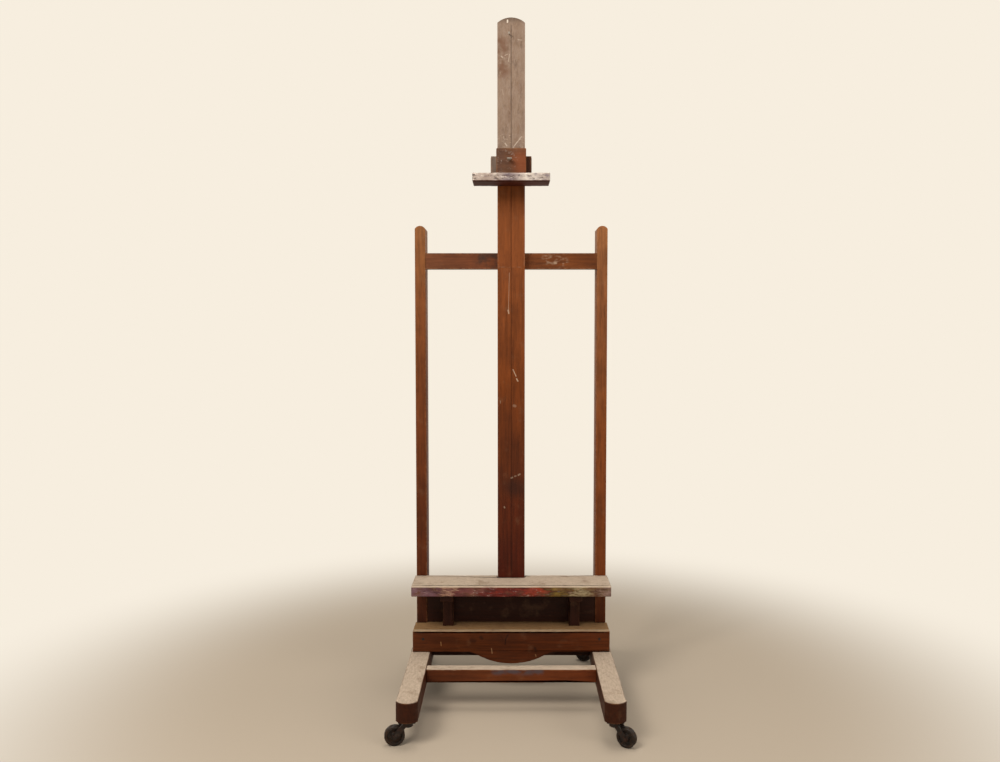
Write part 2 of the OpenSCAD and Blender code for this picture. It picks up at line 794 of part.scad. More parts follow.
// Each kingpin hangs from its plate, and its riveted head carries the fork
module caster_kingpins() {
    color(iron) for (s = CASTER_SIGNS)
        translate([s[0] * runner_gauge / 2, s[1] * (runner_l / 2 - caster_inset), 0]) {
            translate([0, 0, collar_z - rest_gap]) cylinder(r = kingpin_r, h = caster_h - 0.2 - collar_z + rest_gap);
            translate([0, 0, collar_z - rest_gap - 4]) cylinder(r1 = 6, r2 = 8.5, h = 4);
        }
}

// Horn of a caster: a collar on the kingpin and two arms down to the axle
module fork(i) {
    color(iron) at_caster(i) difference() {
        union() {
            translate([0, 0, collar_z]) cylinder(r = collar_r, h = collar_top - collar_z);
            for (side = [-1, 1]) {
                y0 = side > 0 ? arm_in + arm_t : -arm_in;
                translate([0, y0, 0]) rotate([90, 0, 0]) linear_extrude(arm_t) {
                    polygon([[-8, collar_z], [-8, collar_top], [10, collar_top], [trail + 6.4, wheel_r + 6.4],
                             [trail - 6.4, wheel_r - 6.4], [6, collar_z]]);
                    translate([trail, wheel_r]) circle(r = boss_r);
                }
            }
        }
        cylinder(r = kingpin_r + pin_gap, h = caster_h);
        translate([trail, 0, wheel_r]) rotate([90, 0, 0])
            cylinder(r = axle_r + 0.05, h = 4 * wheel_w, center = true);
    }
}

module axle(i) {
    half = arm_in + arm_t + 0.5;
    color(iron) at_caster(i) translate([trail, 0, wheel_r]) rotate([90, 0, 0]) {
        cylinder(r = axle_r, h = 2 * half, center = true);
        for (end = [-1, 1]) translate([0, 0, end * (half + 0.9)]) cylinder(r = axle_r + 2, h = 2, center = true);
    }
}

// Wheel section: hub, thin web and a rim with eased edges
module wheel(i) {
    bore = axle_r + pin_gap;
    hub_r = 10;
    rim_in = wheel_r - 8;
    web = 4;
    ease = 2.5;
    half = wheel_w / 2;
    color("black") at_caster(i) translate([trail, 0, wheel_r]) rotate([90, 0, 0]) rotate_extrude()
        polygon([[bore, -half], [hub_r, -half], [hub_r + 2, -web], [rim_in - 2, -web], [rim_in, -half],
                 [wheel_r - ease, -half], [wheel_r, -half + ease], [wheel_r, half - ease], [wheel_r - ease, half],
                 [rim_in, half], [rim_in - 2, web], [hub_r + 2, web], [hub_r, half], [bore, half]]);
}

// ---------- the assembly ----------

runner(-1);  // left_runner
runner(1);  // right_runner
stretcher(front_stretcher_y);  // front_stretcher
stretcher(mid_stretcher_y);  // mid_stretcher
stretcher(rear_stretcher_y);  // rear_stretcher
post(-1);  // left_post
post(1);  // right_post
crossbar();
brace(-1);  // left_brace
brace(1);  // right_brace
bearer(-1);  // left_bearer
bearer(1);  // right_bearer
shelf_board();
apron();
apron_screws();
tenon_pegs();
pawl_bracket();
pawl_pin();
bracket_screws();
caster_kingpins();
caster_screws();
tray_board();
carriage_back();
tray_leg(-1);  // left_tray_leg
tray_leg(1);  // right_tray_leg
tray_batten(-1);  // left_tray_batten
tray_batten(1);  // right_tray_batten
mast_lower();
mast_upper();
rack_rail();
rack_screws();
mast_screws();
mast_stop_pin();
holder_lip();
holder_front_plate();
holder_cheek(-1);  // holder_left_cheek
holder_cheek(1);  // holder_right_cheek
holder_back_plate();
holder_screws();
clamp_nut();
clamp_screw();
pawl();
for (i = [0:3]) {
    caster_plate(i);
    fork(i);
    axle(i);
    wheel(i);
}
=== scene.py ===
# %% [markdown]
# # An old studio easel
# A tall easel on casters: two posts, a crossbar, and a mast that rises with the tray between the posts.
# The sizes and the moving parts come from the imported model, which is loaded here and never changed. This
# lesson adds what the model leaves out: softened and chipped edges, old mahogany, dust, paint and rust.

# %% Load the frame
import json

import bmesh
import bpy
import numpy as np
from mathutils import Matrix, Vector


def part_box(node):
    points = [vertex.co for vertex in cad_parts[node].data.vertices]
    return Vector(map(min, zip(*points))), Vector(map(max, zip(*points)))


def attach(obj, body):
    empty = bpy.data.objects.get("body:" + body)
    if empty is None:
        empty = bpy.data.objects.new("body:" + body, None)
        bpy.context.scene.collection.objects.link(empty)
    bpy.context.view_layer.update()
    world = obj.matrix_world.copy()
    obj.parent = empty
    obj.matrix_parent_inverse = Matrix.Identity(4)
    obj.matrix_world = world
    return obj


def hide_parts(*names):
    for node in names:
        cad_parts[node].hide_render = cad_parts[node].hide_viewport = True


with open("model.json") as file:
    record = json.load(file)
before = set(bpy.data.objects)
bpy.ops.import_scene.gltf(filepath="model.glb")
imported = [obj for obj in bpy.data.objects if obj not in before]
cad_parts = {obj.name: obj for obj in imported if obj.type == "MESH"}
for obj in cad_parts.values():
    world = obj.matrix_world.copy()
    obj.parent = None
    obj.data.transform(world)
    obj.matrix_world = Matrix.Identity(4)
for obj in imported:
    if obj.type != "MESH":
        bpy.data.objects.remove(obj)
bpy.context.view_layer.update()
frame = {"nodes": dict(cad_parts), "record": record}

# %% [markdown]
# Everything is in metres, and small sizes are easier to read in millimetres, so one name turns them over.
# A node's body and its finish are in the record, and two small tables keep them at hand.

# %% Names used all through
MM = 0.001
record = frame["record"]
BODY = {node: body for body, nodes in record["behaviour"]["bodies"].items() for node in nodes}
SLOT = {part["node"]: part["material_slot"] for part in record["subparts"]}
LOW, HIGH = 0, 1


def size_of(node):
    """Lowest and highest corner of a node, as two arrays."""
    low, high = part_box(node)
    return np.array(low), np.array(high)


# %% [markdown]
# ## Shaping boards
# A sawn board isn't a box: its edges were eased with a plane, and a century of knocks has rounded them
# more in some places than in others. Each board here is an outline carried along an axis. The outline
# shrinks on a quarter circle at both ends, and the circle's radius wanders along the edge.

# %% A wandering line
def wander(along, length, seed, waves=9):
    """A smooth random line from -1 to 1: a sum of sines that close after the given length."""
    dice = np.random.default_rng(seed)
    turns = dice.integers(2, 40, waves)
    phase = dice.uniform(0, 2 * np.pi, waves)
    weight = 1 / np.sqrt(turns)
    angles = 2 * np.pi * np.outer(along / length, turns) + phase
    return (np.sin(angles) * weight).sum(axis=1) / weight.sum() * 1.8


def knocks(along, length, seed, count, reach=5 * MM):
    """Small dents: a few narrow bells at random places along the edge, each up to 1 deep."""
    dice = np.random.default_rng(seed + 1000)
    place = dice.uniform(0, length, count)
    depth = dice.uniform(0.2, 1.0, count)
    width = reach * dice.uniform(0.5, 1.6, count)
    return (depth * np.exp(-(((along[:, None] - place) / width) ** 2))).sum(axis=1)


sample = wander(np.linspace(0, 1, 50), 1.0, seed=0)
print("the wandering line runs from", round(sample.min(), 2), "to", round(sample.max(), 2))


# %% [markdown]
# An outline is a short list of corners, each with its own radius. The curve takes a straight line to where
# the rounding starts and an arc round the corner, and puts a point every few millimetres on both.

# %% Outlines with rounded corners
OPEN, TIGHT = 1.0, 1.2 * MM
ARC_POINTS = 6


def outline(parts, step=6 * MM):
    """Closed curve of (u, v, room) through its parts, in order.

    A part is a corner (u, v, radius), which becomes an arc that touches both of its sides, or an array of
    points that lie on a curve already. Straight runs between parts get a point every step. Room is how far
    inwards a point may move before it meets a neighbour: the radius at a corner, and along a run the
    distance to its nearer end besides.
    """
    ends = [(np.array(p[:2]), np.array(p[:2])) if isinstance(p, tuple) else (p[0], p[-1]) for p in parts]
    stops = []
    for i, part in enumerate(parts):
        if not isinstance(part, tuple) or part[2] == 0:
            points = np.atleast_2d(np.array(part[:2]) if isinstance(part, tuple) else part)
            room = OPEN if len(points) > 1 else TIGHT
            stops.append(np.column_stack([points, np.full(len(points), room)]))
            continue
        here, radius = ends[i][0], part[2]
        before, after = here - ends[i - 1][1], ends[(i + 1) % len(parts)][0] - here
        before, after = before / np.linalg.norm(before), after / np.linalg.norm(after)
        turn = np.arctan2(before[0] * after[1] - before[1] * after[0], before @ after)
        side = np.array([-before[1], before[0]]) * np.sign(turn)
        centre = here - before * radius * abs(np.tan(turn / 2)) + side * radius
        angles = np.arctan2(-side[1], -side[0]) + np.linspace(0, turn, ARC_POINTS)
        arc = centre + radius * np.column_stack([np.cos(angles), np.sin(angles)])
        stops.append(np.column_stack([arc, np.full(ARC_POINTS, 0.97 * radius)]))
    curve = []
    for i, stop in enumerate(stops):
        reach = stops[(i + 1) % len(stops)][0] - stop[-1]
        share = np.linspace(0, 1, max(2, int(np.linalg.norm(reach[:2]) / step) + 1))[1:-1, None]
        run = stop[-1] + share * reach
        from_end = np.minimum(share, 1 - share)[:, 0] * np.linalg.norm(reach[:2])
        run[:, 2] = from_end + min(stop[-1][2], stops[(i + 1) % len(stops)][0][2])
        curve += [stop, run]
    return np.vstack(curve)


def rectangle(u0, v0, u1, v1, radius=2 * MM):
    """Outline of a rectangle between two corners."""
    return outline([(u0, v0, radius), (u1, v0, radius), (u1, v1, radius), (u0, v1, radius)])


print("a 100 mm square has", len(rectangle(0, 0, 100 * MM, 100 * MM)), "points round it")


# %% [markdown]
# The board itself is a stack of rings. Each ring is the outline moved inwards along its own normal, so the
# whole board is one grid of points, and its two ends are closed by flat faces.

# %% Boards
AXES = {"x": (1, 2, 0), "y": (0, 2, 1), "z": (0, 1, 2)}
SKIN = 0.3 * MM
SUPPORT = 1.5 * MM


def new_piece(name, points, faces):
    """Mesh object from arrays of points and faces, with its faces turned outwards and smooth where soft."""
    mesh = bpy.data.meshes.new(name)
    mesh.from_pydata(points.tolist(), [], faces)
    shape = bmesh.new()
    shape.from_mesh(mesh)
    bmesh.ops.recalc_face_normals(shape, faces=shape.faces)
    shape.to_mesh(mesh)
    shape.free()
    mesh.shade_smooth()
    mesh.set_sharp_from_angle(angle=np.radians(40))
    piece = bpy.data.objects.new(name, mesh)
    bpy.context.collection.objects.link(piece)
    return piece


def ring_faces(rings, around):
    """Quads between neighbouring rings of a grid whose rings are closed, and the two end faces."""
    ring, place = np.meshgrid(np.arange(rings - 1), np.arange(around), indexing="ij")
    ahead = (place + 1) % around
    quads = np.stack([ring * around + place, ring * around + ahead,
                      (ring + 1) * around + ahead, (ring + 1) * around + place], axis=-1).reshape(-1, 4)
    ends = [list(range(around))[::-1], list(range((rings - 1) * around, rings * around))]
    return quads.tolist() + ends


# %% [markdown]
# Now the stack of rings. The first ring is a little inside the end face, so that the face stays flat and its
# shading doesn't bleed round the edge. The next four go round the quarter circle, and the last one is a
# little way down the side, for the same reason.

# %% A board with worn edges
def board(name, curve, axis, start, end, arris=2 * MM, seed=0, dents=12):
    """A board with worn edges.

    Ring k of an end lies at an angle t on a quarter circle of radius a: it is a(1 - sin t) inside the outline
    and a(1 - cos t) from the end. The radius a wanders along the outline, and is larger at the dents.
    """
    curve, room = curve[:, :2], curve[:, [2]]
    ahead, behind = np.roll(curve, -1, axis=0), np.roll(curve, 1, axis=0)
    if (curve[:, 0] * ahead[:, 1] - ahead[:, 0] * curve[:, 1]).sum() < 0:
        curve, room, ahead, behind = curve[::-1], room[::-1], behind[::-1], ahead[::-1]
    tangent = ahead - behind
    tangent /= np.linalg.norm(tangent, axis=1)[:, None]
    inwards = np.column_stack([-tangent[:, 1], tangent[:, 0]])
    along = np.concatenate([[0], np.cumsum(np.linalg.norm(ahead - curve, axis=1))])
    along, length = along[:-1], along[-1]
    flat = curve + inwards * (SKIN + 0.2 * MM * wander(along, length, seed))[:, None]
    turns = np.radians([0, 30, 60, 90])
    rings = []
    for end_number, (at, way) in enumerate([(start + SKIN, 1), (end - SKIN, -1)]):
        worn = 1 + 0.45 * wander(along, length, seed + 7 + end_number)
        worn = worn + 0.9 * knocks(along, length, seed + 7 + end_number, dents)
        radius = (arris * worn)[:, None]
        inset = np.hstack([radius + SUPPORT, radius * (1 - np.sin(turns)), 0 * radius])
        inset = np.minimum(inset, room)
        depth = np.hstack([0 * radius, radius * (1 - np.cos(turns)), radius + SUPPORT])
        stack = [(flat + inwards * inset[:, [k]], at + way * depth[:, k]) for k in range(inset.shape[1])]
        rings += stack if way > 0 else stack[::-1]
    u, v, w = AXES[axis]
    points = np.zeros((len(rings), len(curve), 3))
    for k, (plane, height) in enumerate(rings):
        points[k, :, u], points[k, :, v], points[k, :, w] = plane[:, 0], plane[:, 1], height
    return new_piece(name, points.reshape(-1, 3), ring_faces(len(rings), len(curve)))


# %% [markdown]
# Each new board stands for one node of the model. It moves with the same body, and the model's own plain
# board is hidden but goes on being used for contact.

# %% Standing for a node
def stands_for(piece, node):
    """The piece takes a model node's place: it joins the node's body, and the node is hidden."""
    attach(piece, BODY[node])
    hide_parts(node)


# %% [markdown]
# ## The base
# The runners are two thick rails with bulged noses. Seen from above, a nose is an arc across the rail's full
# width, so its outline is worked out from the arc's rise, the same rise as in the model.

# %% Runners
def arc_across(half, rise, count=14):
    """Points of an arc over -half..half that rises by rise in its middle."""
    radius = (half ** 2 + rise ** 2) / (2 * rise)
    angle = np.linspace(-np.arcsin(half / radius), np.arcsin(half / radius), count)
    return np.column_stack([radius * np.sin(angle), radius * np.cos(angle) - radius + rise])


NOSE_RISE = 18 * MM
wood_pieces = {}
for side in ("left", "right"):
    node = side + "_runner"
    low, high = size_of(node)
    middle, half = (low[0] + high[0]) / 2, (high[0] - low[0]) / 2
    nose = arc_across(half, NOSE_RISE)
    tail = np.column_stack([middle - nose[:, 0], high[1] - NOSE_RISE + nose[:, 1]])
    front = np.column_stack([middle + nose[:, 0], low[1] + NOSE_RISE - nose[:, 1]])
    curve = outline([front, tail])
    piece = board("worn_" + node, curve, "z", low[2], high[2], 3 * MM, seed=len(side), dents=22)
    stands_for(piece, node)
    wood_pieces[node] = piece
print("runner points:", len(wood_pieces["left_runner"].data.vertices))

# %% [markdown]
# The front stretcher, the tray's legs and the battens above them are plain sawn boards. They all come from
# the same function, each with its own size, edge and pattern of dents.

# %% Plain boards
PLAIN = {
    "front_stretcher": (2.5, 20),
    "left_tray_leg": (1.5, 4),
    "right_tray_leg": (1.5, 4),
    "left_tray_batten": (1.5, 4),
    "right_tray_batten": (1.5, 4),
    "holder_left_cheek": (1.5, 5),
    "holder_right_cheek": (1.5, 5),
}
for number, (node, (arris, dents)) in enumerate(PLAIN.items()):
    low, high = size_of(node)
    if node == "front_stretcher":
        low[0], high[0] = size_of("left_runner")[HIGH][0], size_of("right_runner")[LOW][0]
    curve = rectangle(low[0], low[2], high[0], high[2])
    piece = board("worn_" + node, curve, "y", low[1], high[1], arris * MM, 40 + number, dents)
    stands_for(piece, node)
    wood_pieces[node] = piece
print(len(PLAIN), "plain boards")

# %% [markdown]
# The apron hides the shelf's edge. Its lower edge runs straight, dips through a hollow shoulder, and swells
# into a round belly: a cosine for each short shoulder, and one arc between them, as in the model.

# %% Apron
BELLY_WIDTH, BELLY_DROP = 290 * MM, 39 * MM
SHOULDER = (0.1 * BELLY_WIDTH, 0.2 * BELLY_DROP)
low, high = size_of("apron")
straight = low[2] + BELLY_DROP
share = np.linspace(0, 1, 9)
dip = SHOULDER[1] * (1 - np.cos(share * np.pi / 2))
hollow = np.column_stack([share * SHOULDER[0] - BELLY_WIDTH / 2, straight - dip])
belly = arc_across(BELLY_WIDTH / 2 - SHOULDER[0], BELLY_DROP - SHOULDER[1], 40)
belly[:, 1] = straight - SHOULDER[1] - belly[:, 1]
edge = np.vstack([hollow, belly[1:-1], hollow[::-1] * [-1, 1]])
parts = [(low[0], straight, 2 * MM), edge, (high[0], straight, 2 * MM)]
parts += [(high[0], high[2], 2 * MM), (low[0], high[2], 2 * MM)]
curve = outline(parts, 4 * MM)
wood_pieces["apron"] = board("worn_apron", curve, "y", low[1], high[1], 2.2 * MM, 61, 26)
stands_for(wood_pieces["apron"], "apron")
print("apron:", len(wood_pieces["apron"].data.vertices), "points")

# %% [markdown]
# The shelf and the tray are wide boards, notched round the posts, and the tray also round the mast. They are
# drawn as seen from above. The tray's front edge took most of the knocks.

# %% Shelf and tray
post_inner = size_of("right_post")[LOW][0]
post_front = size_of("right_post")[LOW][1]
mast_low, mast_high = size_of("mast_lower")


def notched(node, clear, mast_notch):
    """Plan of a board that runs in front of the posts at its full width and narrower between them."""
    low, high = size_of(node)
    half, inner, soft = high[0], post_inner - clear, 1.5 * MM
    right = [(half, low[1], 3 * MM), (half, post_front - clear, soft), (inner, post_front - clear, 0),
             (inner, high[1], soft)]
    if mast_notch:
        gap = mast_high[0] + 0.4 * MM
        right += [(gap, high[1], 0), (gap, mast_low[1] - 0.4 * MM, 0)]
    left = [(-u, v, r) for u, v, r in right[::-1]]
    return outline(right + left, 5 * MM)


# node: gap round the posts, mast notch, softness of the edges, seed, dents
WIDE = {
    "shelf_board": (0.5 * MM, False, 1.5 * MM, 71, 10),
    "tray_board": (1 * MM, True, 3 * MM, 83, 46),
}
for node, (clear, mast_notch, arris, seed, dents) in WIDE.items():
    low, high = size_of(node)
    curve = notched(node, clear, mast_notch)
    wood_pieces[node] = board("worn_" + node, curve, "z", low[2], high[2], arris, seed, dents)
    stands_for(wood_pieces[node], node)
print("tray points:", len(wood_pieces["tray_board"].data.vertices))

# %% [markdown]
# ## The canvas holder
# The lip is the thick board that comes down on a canvas. The front plate above it has two corners clipped,
# and carries the clamp screw.

# %% Lip and front plate
low, high = size_of("holder_lip")
curve = rectangle(low[0], low[1], high[0], high[1], 3 * MM)
wood_pieces["holder_lip"] = board("worn_holder_lip", curve, "z", low[2], high[2], 3 * MM, 91, 24)
low, high = size_of("holder_front_plate")
clip = 4 * MM
corners = [(low[0], low[2], 1 * MM), (high[0], low[2], 1 * MM)]
curve = outline(corners + [(high[0], high[2], clip), (low[0], high[2], clip)])
piece = board("worn_holder_front_plate", curve, "y", low[1], high[1], 2.2 * MM, 97, 12)
wood_pieces["holder_front_plate"] = piece
for node in ("holder_lip", "holder_front_plate"):
    stands_for(wood_pieces[node], node)
print("lip points:", len(wood_pieces["holder_lip"].data.vertices))

# %% [markdown]
# ## Model parts that keep their shape
# The posts, the mast, the crossbar and the hidden boards have grooves, laps and notches that the model cut
# exactly, so they stay as they are. A weld and a small bevel take the razor edge off without moving a face.

# %% Eased edges
def ease(node, width, segments=3):
    """Rounds a model node's edges with modifiers, so that its own mesh stays as it was."""
    part = frame["nodes"][node]
    weld = part.modifiers.new("weld", "WELD")
    weld.merge_threshold = 0.01 * MM
    bevel = part.modifiers.new("ease", "BEVEL")
    bevel.width = width
    bevel.segments = segments
    bevel.limit_method = "ANGLE"
    bevel.angle_limit = np.radians(35)
    bevel.harden_normals = True


EASED_WOOD = {
    "left_post": 2.5, "right_post": 2.5, "mast_lower": 0.7, "mast_upper": 0.7, "crossbar": 1.5,
    "carriage_back": 1.2, "holder_back_plate": 1.2, "mid_stretcher": 1.5, "rear_stretcher": 1.5,
    "left_brace": 1.5, "right_brace": 1.5, "left_bearer": 1, "right_bearer": 1, "rack_rail": 0.5,
}
for node, width in EASED_WOOD.items():
    ease(node, width * MM)
    wood_pieces[node] = frame["nodes"][node]
IRON = [node for node in BODY if SLOT[node] in ("wrought_iron", "wheel_iron")]
for node in IRON:
    if node.startswith(("fork", "wheel", "pawl", "caster_plate", "clamp_screw")):
        ease(node, 0.5 * MM, 2)
print(len(EASED_WOOD), "boards and", len(IRON), "iron parts keep the model's shape")

# %% [markdown]
# ## Colour
# Colours are written as on a paint card, in sRGB hex, and one function turns them into the linear numbers
# that Blender works with. One more function adds a node: it takes the node's inputs, which may be numbers or
# other nodes' outputs, and its settings.

# %% Colours and nodes
def linear(hex_colour):
    """sRGB hex to linear RGBA."""
    channels = np.array([int(hex_colour[i:i + 2], 16) for i in (1, 3, 5)]) / 255
    low = channels / 12.92
    high = ((channels + 0.055) / 1.055) ** 2.4
    return (*np.where(channels <= 0.04045, low, high), 1.0)


def add(tree, kind, inputs=None, **settings):
    """Adds a node, sets it up, and links or fills its inputs."""
    new = tree.nodes.new(kind)
    for name, value in settings.items():
        setattr(new, name, value)
    for name, value in (inputs or {}).items():
        if isinstance(value, bpy.types.NodeSocket):
            tree.links.new(value, new.inputs[name])
        else:
            new.inputs[name].default_value = value
    return new


# %% [markdown]
# ## Patterns
# Old wood is made of layers, and each layer here is a mask from 0 to 1 with a colour of its own. Blotches
# come from noise of a given size in millimetres. The same noise, squeezed across the grain, gives streaks.

# %% Noise masks and layers
def blotches(tree, place, size_mm, cut, seed=0.0, stretch=(1, 1, 1), detail=4.0, rough=0.55):
    """Noise with features of about size_mm, cut to 0..1 between two levels, and stretched on an axis."""
    mapped = add(tree, "ShaderNodeMapping", {"Vector": place, "Location": (seed, seed * 0.7, seed * 1.3),
                                             "Scale": tuple(1 / s for s in stretch)})
    noise = add(tree, "ShaderNodeTexNoise", {"Vector": mapped.outputs[0], "Scale": 1 / (size_mm * MM),
                                             "Detail": detail, "Roughness": rough})
    return add(tree, "ShaderNodeMapRange", {"Value": noise.outputs[0], "From Min": cut[0],
                                            "From Max": cut[1]},
               interpolation_type="SMOOTHSTEP").outputs[0]


def meet(tree, *masks):
    """Where all of the masks are on: the product of masks and plain numbers."""
    shared = masks[0]
    for mask in masks[1:]:
        shared = add(tree, "ShaderNodeMath", {0: shared, 1: mask}, operation="MULTIPLY").outputs[0]
    return shared


# %% [markdown]
# A material begins empty. Its colours are laid one over the other like coats of paint, and a ramp of tones
# gives the first coat.

# %% Coats of colour
def new_material(name):
    """An empty material with its node tree and its surface shader."""
    material = bpy.data.materials.new(name)
    material.use_nodes = True
    return material, material.node_tree, material.node_tree.nodes["Principled BSDF"]


def toned(tree, along, tones, ends, offset=0.0):
    """Colour by a distance in metres: a ramp of (metres, hex) stops between two ends."""
    first, last = ends
    share = add(tree, "ShaderNodeMapRange", {"Value": along, "From Min": first + offset,
                                             "From Max": last + offset})
    ramp = add(tree, "ShaderNodeValToRGB", {"Fac": share.outputs[0]})
    stops = ramp.color_ramp.elements
    while len(stops) < len(tones):
        stops.new(0.5)
    for stop, (metres, colour) in zip(stops, tones):
        stop.position = (metres - first) / (last - first)
    for stop, (metres, colour) in zip(stops, tones):
        stop.color = linear(colour)
    return ramp.outputs[0]


def layer(tree, below, colour, mask, blend="MIX"):
    """Lays a colour (hex, or a node's output) over what is below it, where the mask is on."""
    top = linear(colour) if isinstance(colour, str) else colour
    mix = add(tree, "ShaderNodeMix", {"Factor": mask}, data_type="RGBA", blend_type=blend)
    for socket, value in ((mix.inputs[6], below), (mix.inputs[7], top)):
        if isinstance(value, bpy.types.NodeSocket):
            tree.links.new(value, socket)
        else:
            socket.default_value = value
    return mix.outputs[2]


# %% [markdown]
# Wear follows edges. In a box, the distance to the nearest edge is the middle one of the three distances to
# the nearest faces, so a few minimum and maximum nodes find it from the board's own corners.

# %% Edges, faces and marks
def near_edge(tree, place, low, high, width):
    """1 at a box's edges, 0 at width from them: one minus the middle of the three distances to its faces."""
    inside = add(tree, "ShaderNodeVectorMath", {0: place, 1: tuple(low)}, operation="SUBTRACT")
    beyond = add(tree, "ShaderNodeVectorMath", {0: tuple(high), 1: place}, operation="SUBTRACT")
    nearest = add(tree, "ShaderNodeVectorMath", {0: inside.outputs[0], 1: beyond.outputs[0]},
                  operation="MINIMUM")
    gap = add(tree, "ShaderNodeSeparateXYZ", {0: nearest.outputs[0]}).outputs
    least = add(tree, "ShaderNodeMath", {0: gap[0], 1: gap[1]}, operation="MINIMUM").outputs[0]
    most = add(tree, "ShaderNodeMath", {0: gap[0], 1: gap[1]}, operation="MAXIMUM").outputs[0]
    capped = add(tree, "ShaderNodeMath", {0: most, 1: gap[2]}, operation="MINIMUM").outputs[0]
    middle = add(tree, "ShaderNodeMath", {0: least, 1: capped}, operation="MAXIMUM").outputs[0]
    return add(tree, "ShaderNodeMapRange", {"Value": middle, "From Min": width, "From Max": 0.0},
               interpolation_type="SMOOTHSTEP").outputs[0]


def facing(tree, direction, start=0.6, full=0.85):
    """1 on faces that point the given way, whatever the bump on them."""
    normal = add(tree, "ShaderNodeNewGeometry").outputs["True Normal"]
    towards = add(tree, "ShaderNodeVectorMath", {0: normal, 1: direction}, operation="DOT_PRODUCT")
    return add(tree, "ShaderNodeMapRange", {"Value": towards.outputs["Value"], "From Min": start,
                                            "From Max": full}).outputs[0]


# %% [markdown]
# Real scratches and drips are single strokes at known places. A stroke is a line from one point to another,
# and the distance to it makes the mask.

# %% Strokes
def scratch(tree, place, start, end, width, soft=1.0):
    """A stroke on a front face, from start to end as (x, z): 1 within half its width of that line."""
    a, b = np.array([start[0], 0, start[1]]), np.array([end[0], 0, end[1]])
    way = b - a
    flat = add(tree, "ShaderNodeVectorMath", {0: place, 1: (1, 0, 1)}, operation="MULTIPLY").outputs[0]
    from_a = add(tree, "ShaderNodeVectorMath", {0: flat, 1: tuple(a)}, operation="SUBTRACT").outputs[0]
    share = add(tree, "ShaderNodeVectorMath", {0: from_a, 1: tuple(way / (way @ way))},
                operation="DOT_PRODUCT").outputs["Value"]
    share = add(tree, "ShaderNodeClamp", {"Value": share}).outputs[0]
    foot = add(tree, "ShaderNodeVectorMath", {0: tuple(way), "Scale": share}, operation="SCALE").outputs[0]
    gap = add(tree, "ShaderNodeVectorMath", {0: from_a, 1: foot}, operation="DISTANCE").outputs["Value"]
    return add(tree, "ShaderNodeMapRange", {"Value": gap, "From Min": width * (0.5 + soft),
                                            "From Max": width * 0.2},
               interpolation_type="SMOOTHSTEP").outputs[0]


# %% [markdown]
# ## Old mahogany
# Mahogany is a red-brown wood with fine long pores. Oiled and handled for a century it turns deep brown, with
# darker streaks, a dull shine, and edges rubbed paler. Its colour also changes along a board, so the base is
# a ramp of tones along one axis. Streaks, pores, blotches, edges and dust then go over it, one by one.

# %% The wood
SHEEN = 0.14
WOBBLE = 60 * MM
GRAIN = {"x": (14, 1, 1), "y": (1, 14, 1), "z": (1, 1, 14)}


def dusted(tree, place, wood, rough, grain, dust, cut, seed):
    """Dust, stains and specks on the faces that look up. Returns the new colour and the new roughness."""
    along_grain = tuple(np.array(GRAIN[grain]) ** 0.5)
    cover = blotches(tree, place, 40, cut, seed + 7, along_grain, 9.0, 0.72)
    on_top = meet(tree, facing(tree, (0, 0, 1)), cover)
    bright = blotches(tree, place, 6, (0.3, 0.7), seed + 8, along_grain, 6.0, 0.7)
    bright = add(tree, "ShaderNodeMapRange", {"Value": bright, "To Min": 0.84, "To Max": 1.14}).outputs[0]
    coat = layer(tree, linear(dust), bright, 1.0, "MULTIPLY")
    stains = blotches(tree, place, 70, (0.52, 0.72), seed + 9, detail=8.0, rough=0.66)
    coat = layer(tree, coat, "#6b5138", meet(tree, stains, 0.55))
    specks = blotches(tree, place, 6, (0.63, 0.70), seed + 10, detail=3.0)
    coat = layer(tree, coat, "#4a382c", meet(tree, specks, 0.5))
    wood = layer(tree, wood, coat, on_top)
    return wood, add(tree, "ShaderNodeMath", {0: rough, 1: on_top}, operation="MAXIMUM").outputs[0]


# %% [markdown]
# The wood itself goes on in the order in which it came about: the tone of the board, its streaks and pores,
# a century of patina and grease, the rubbed edges, this board's own marks, and last the dust.

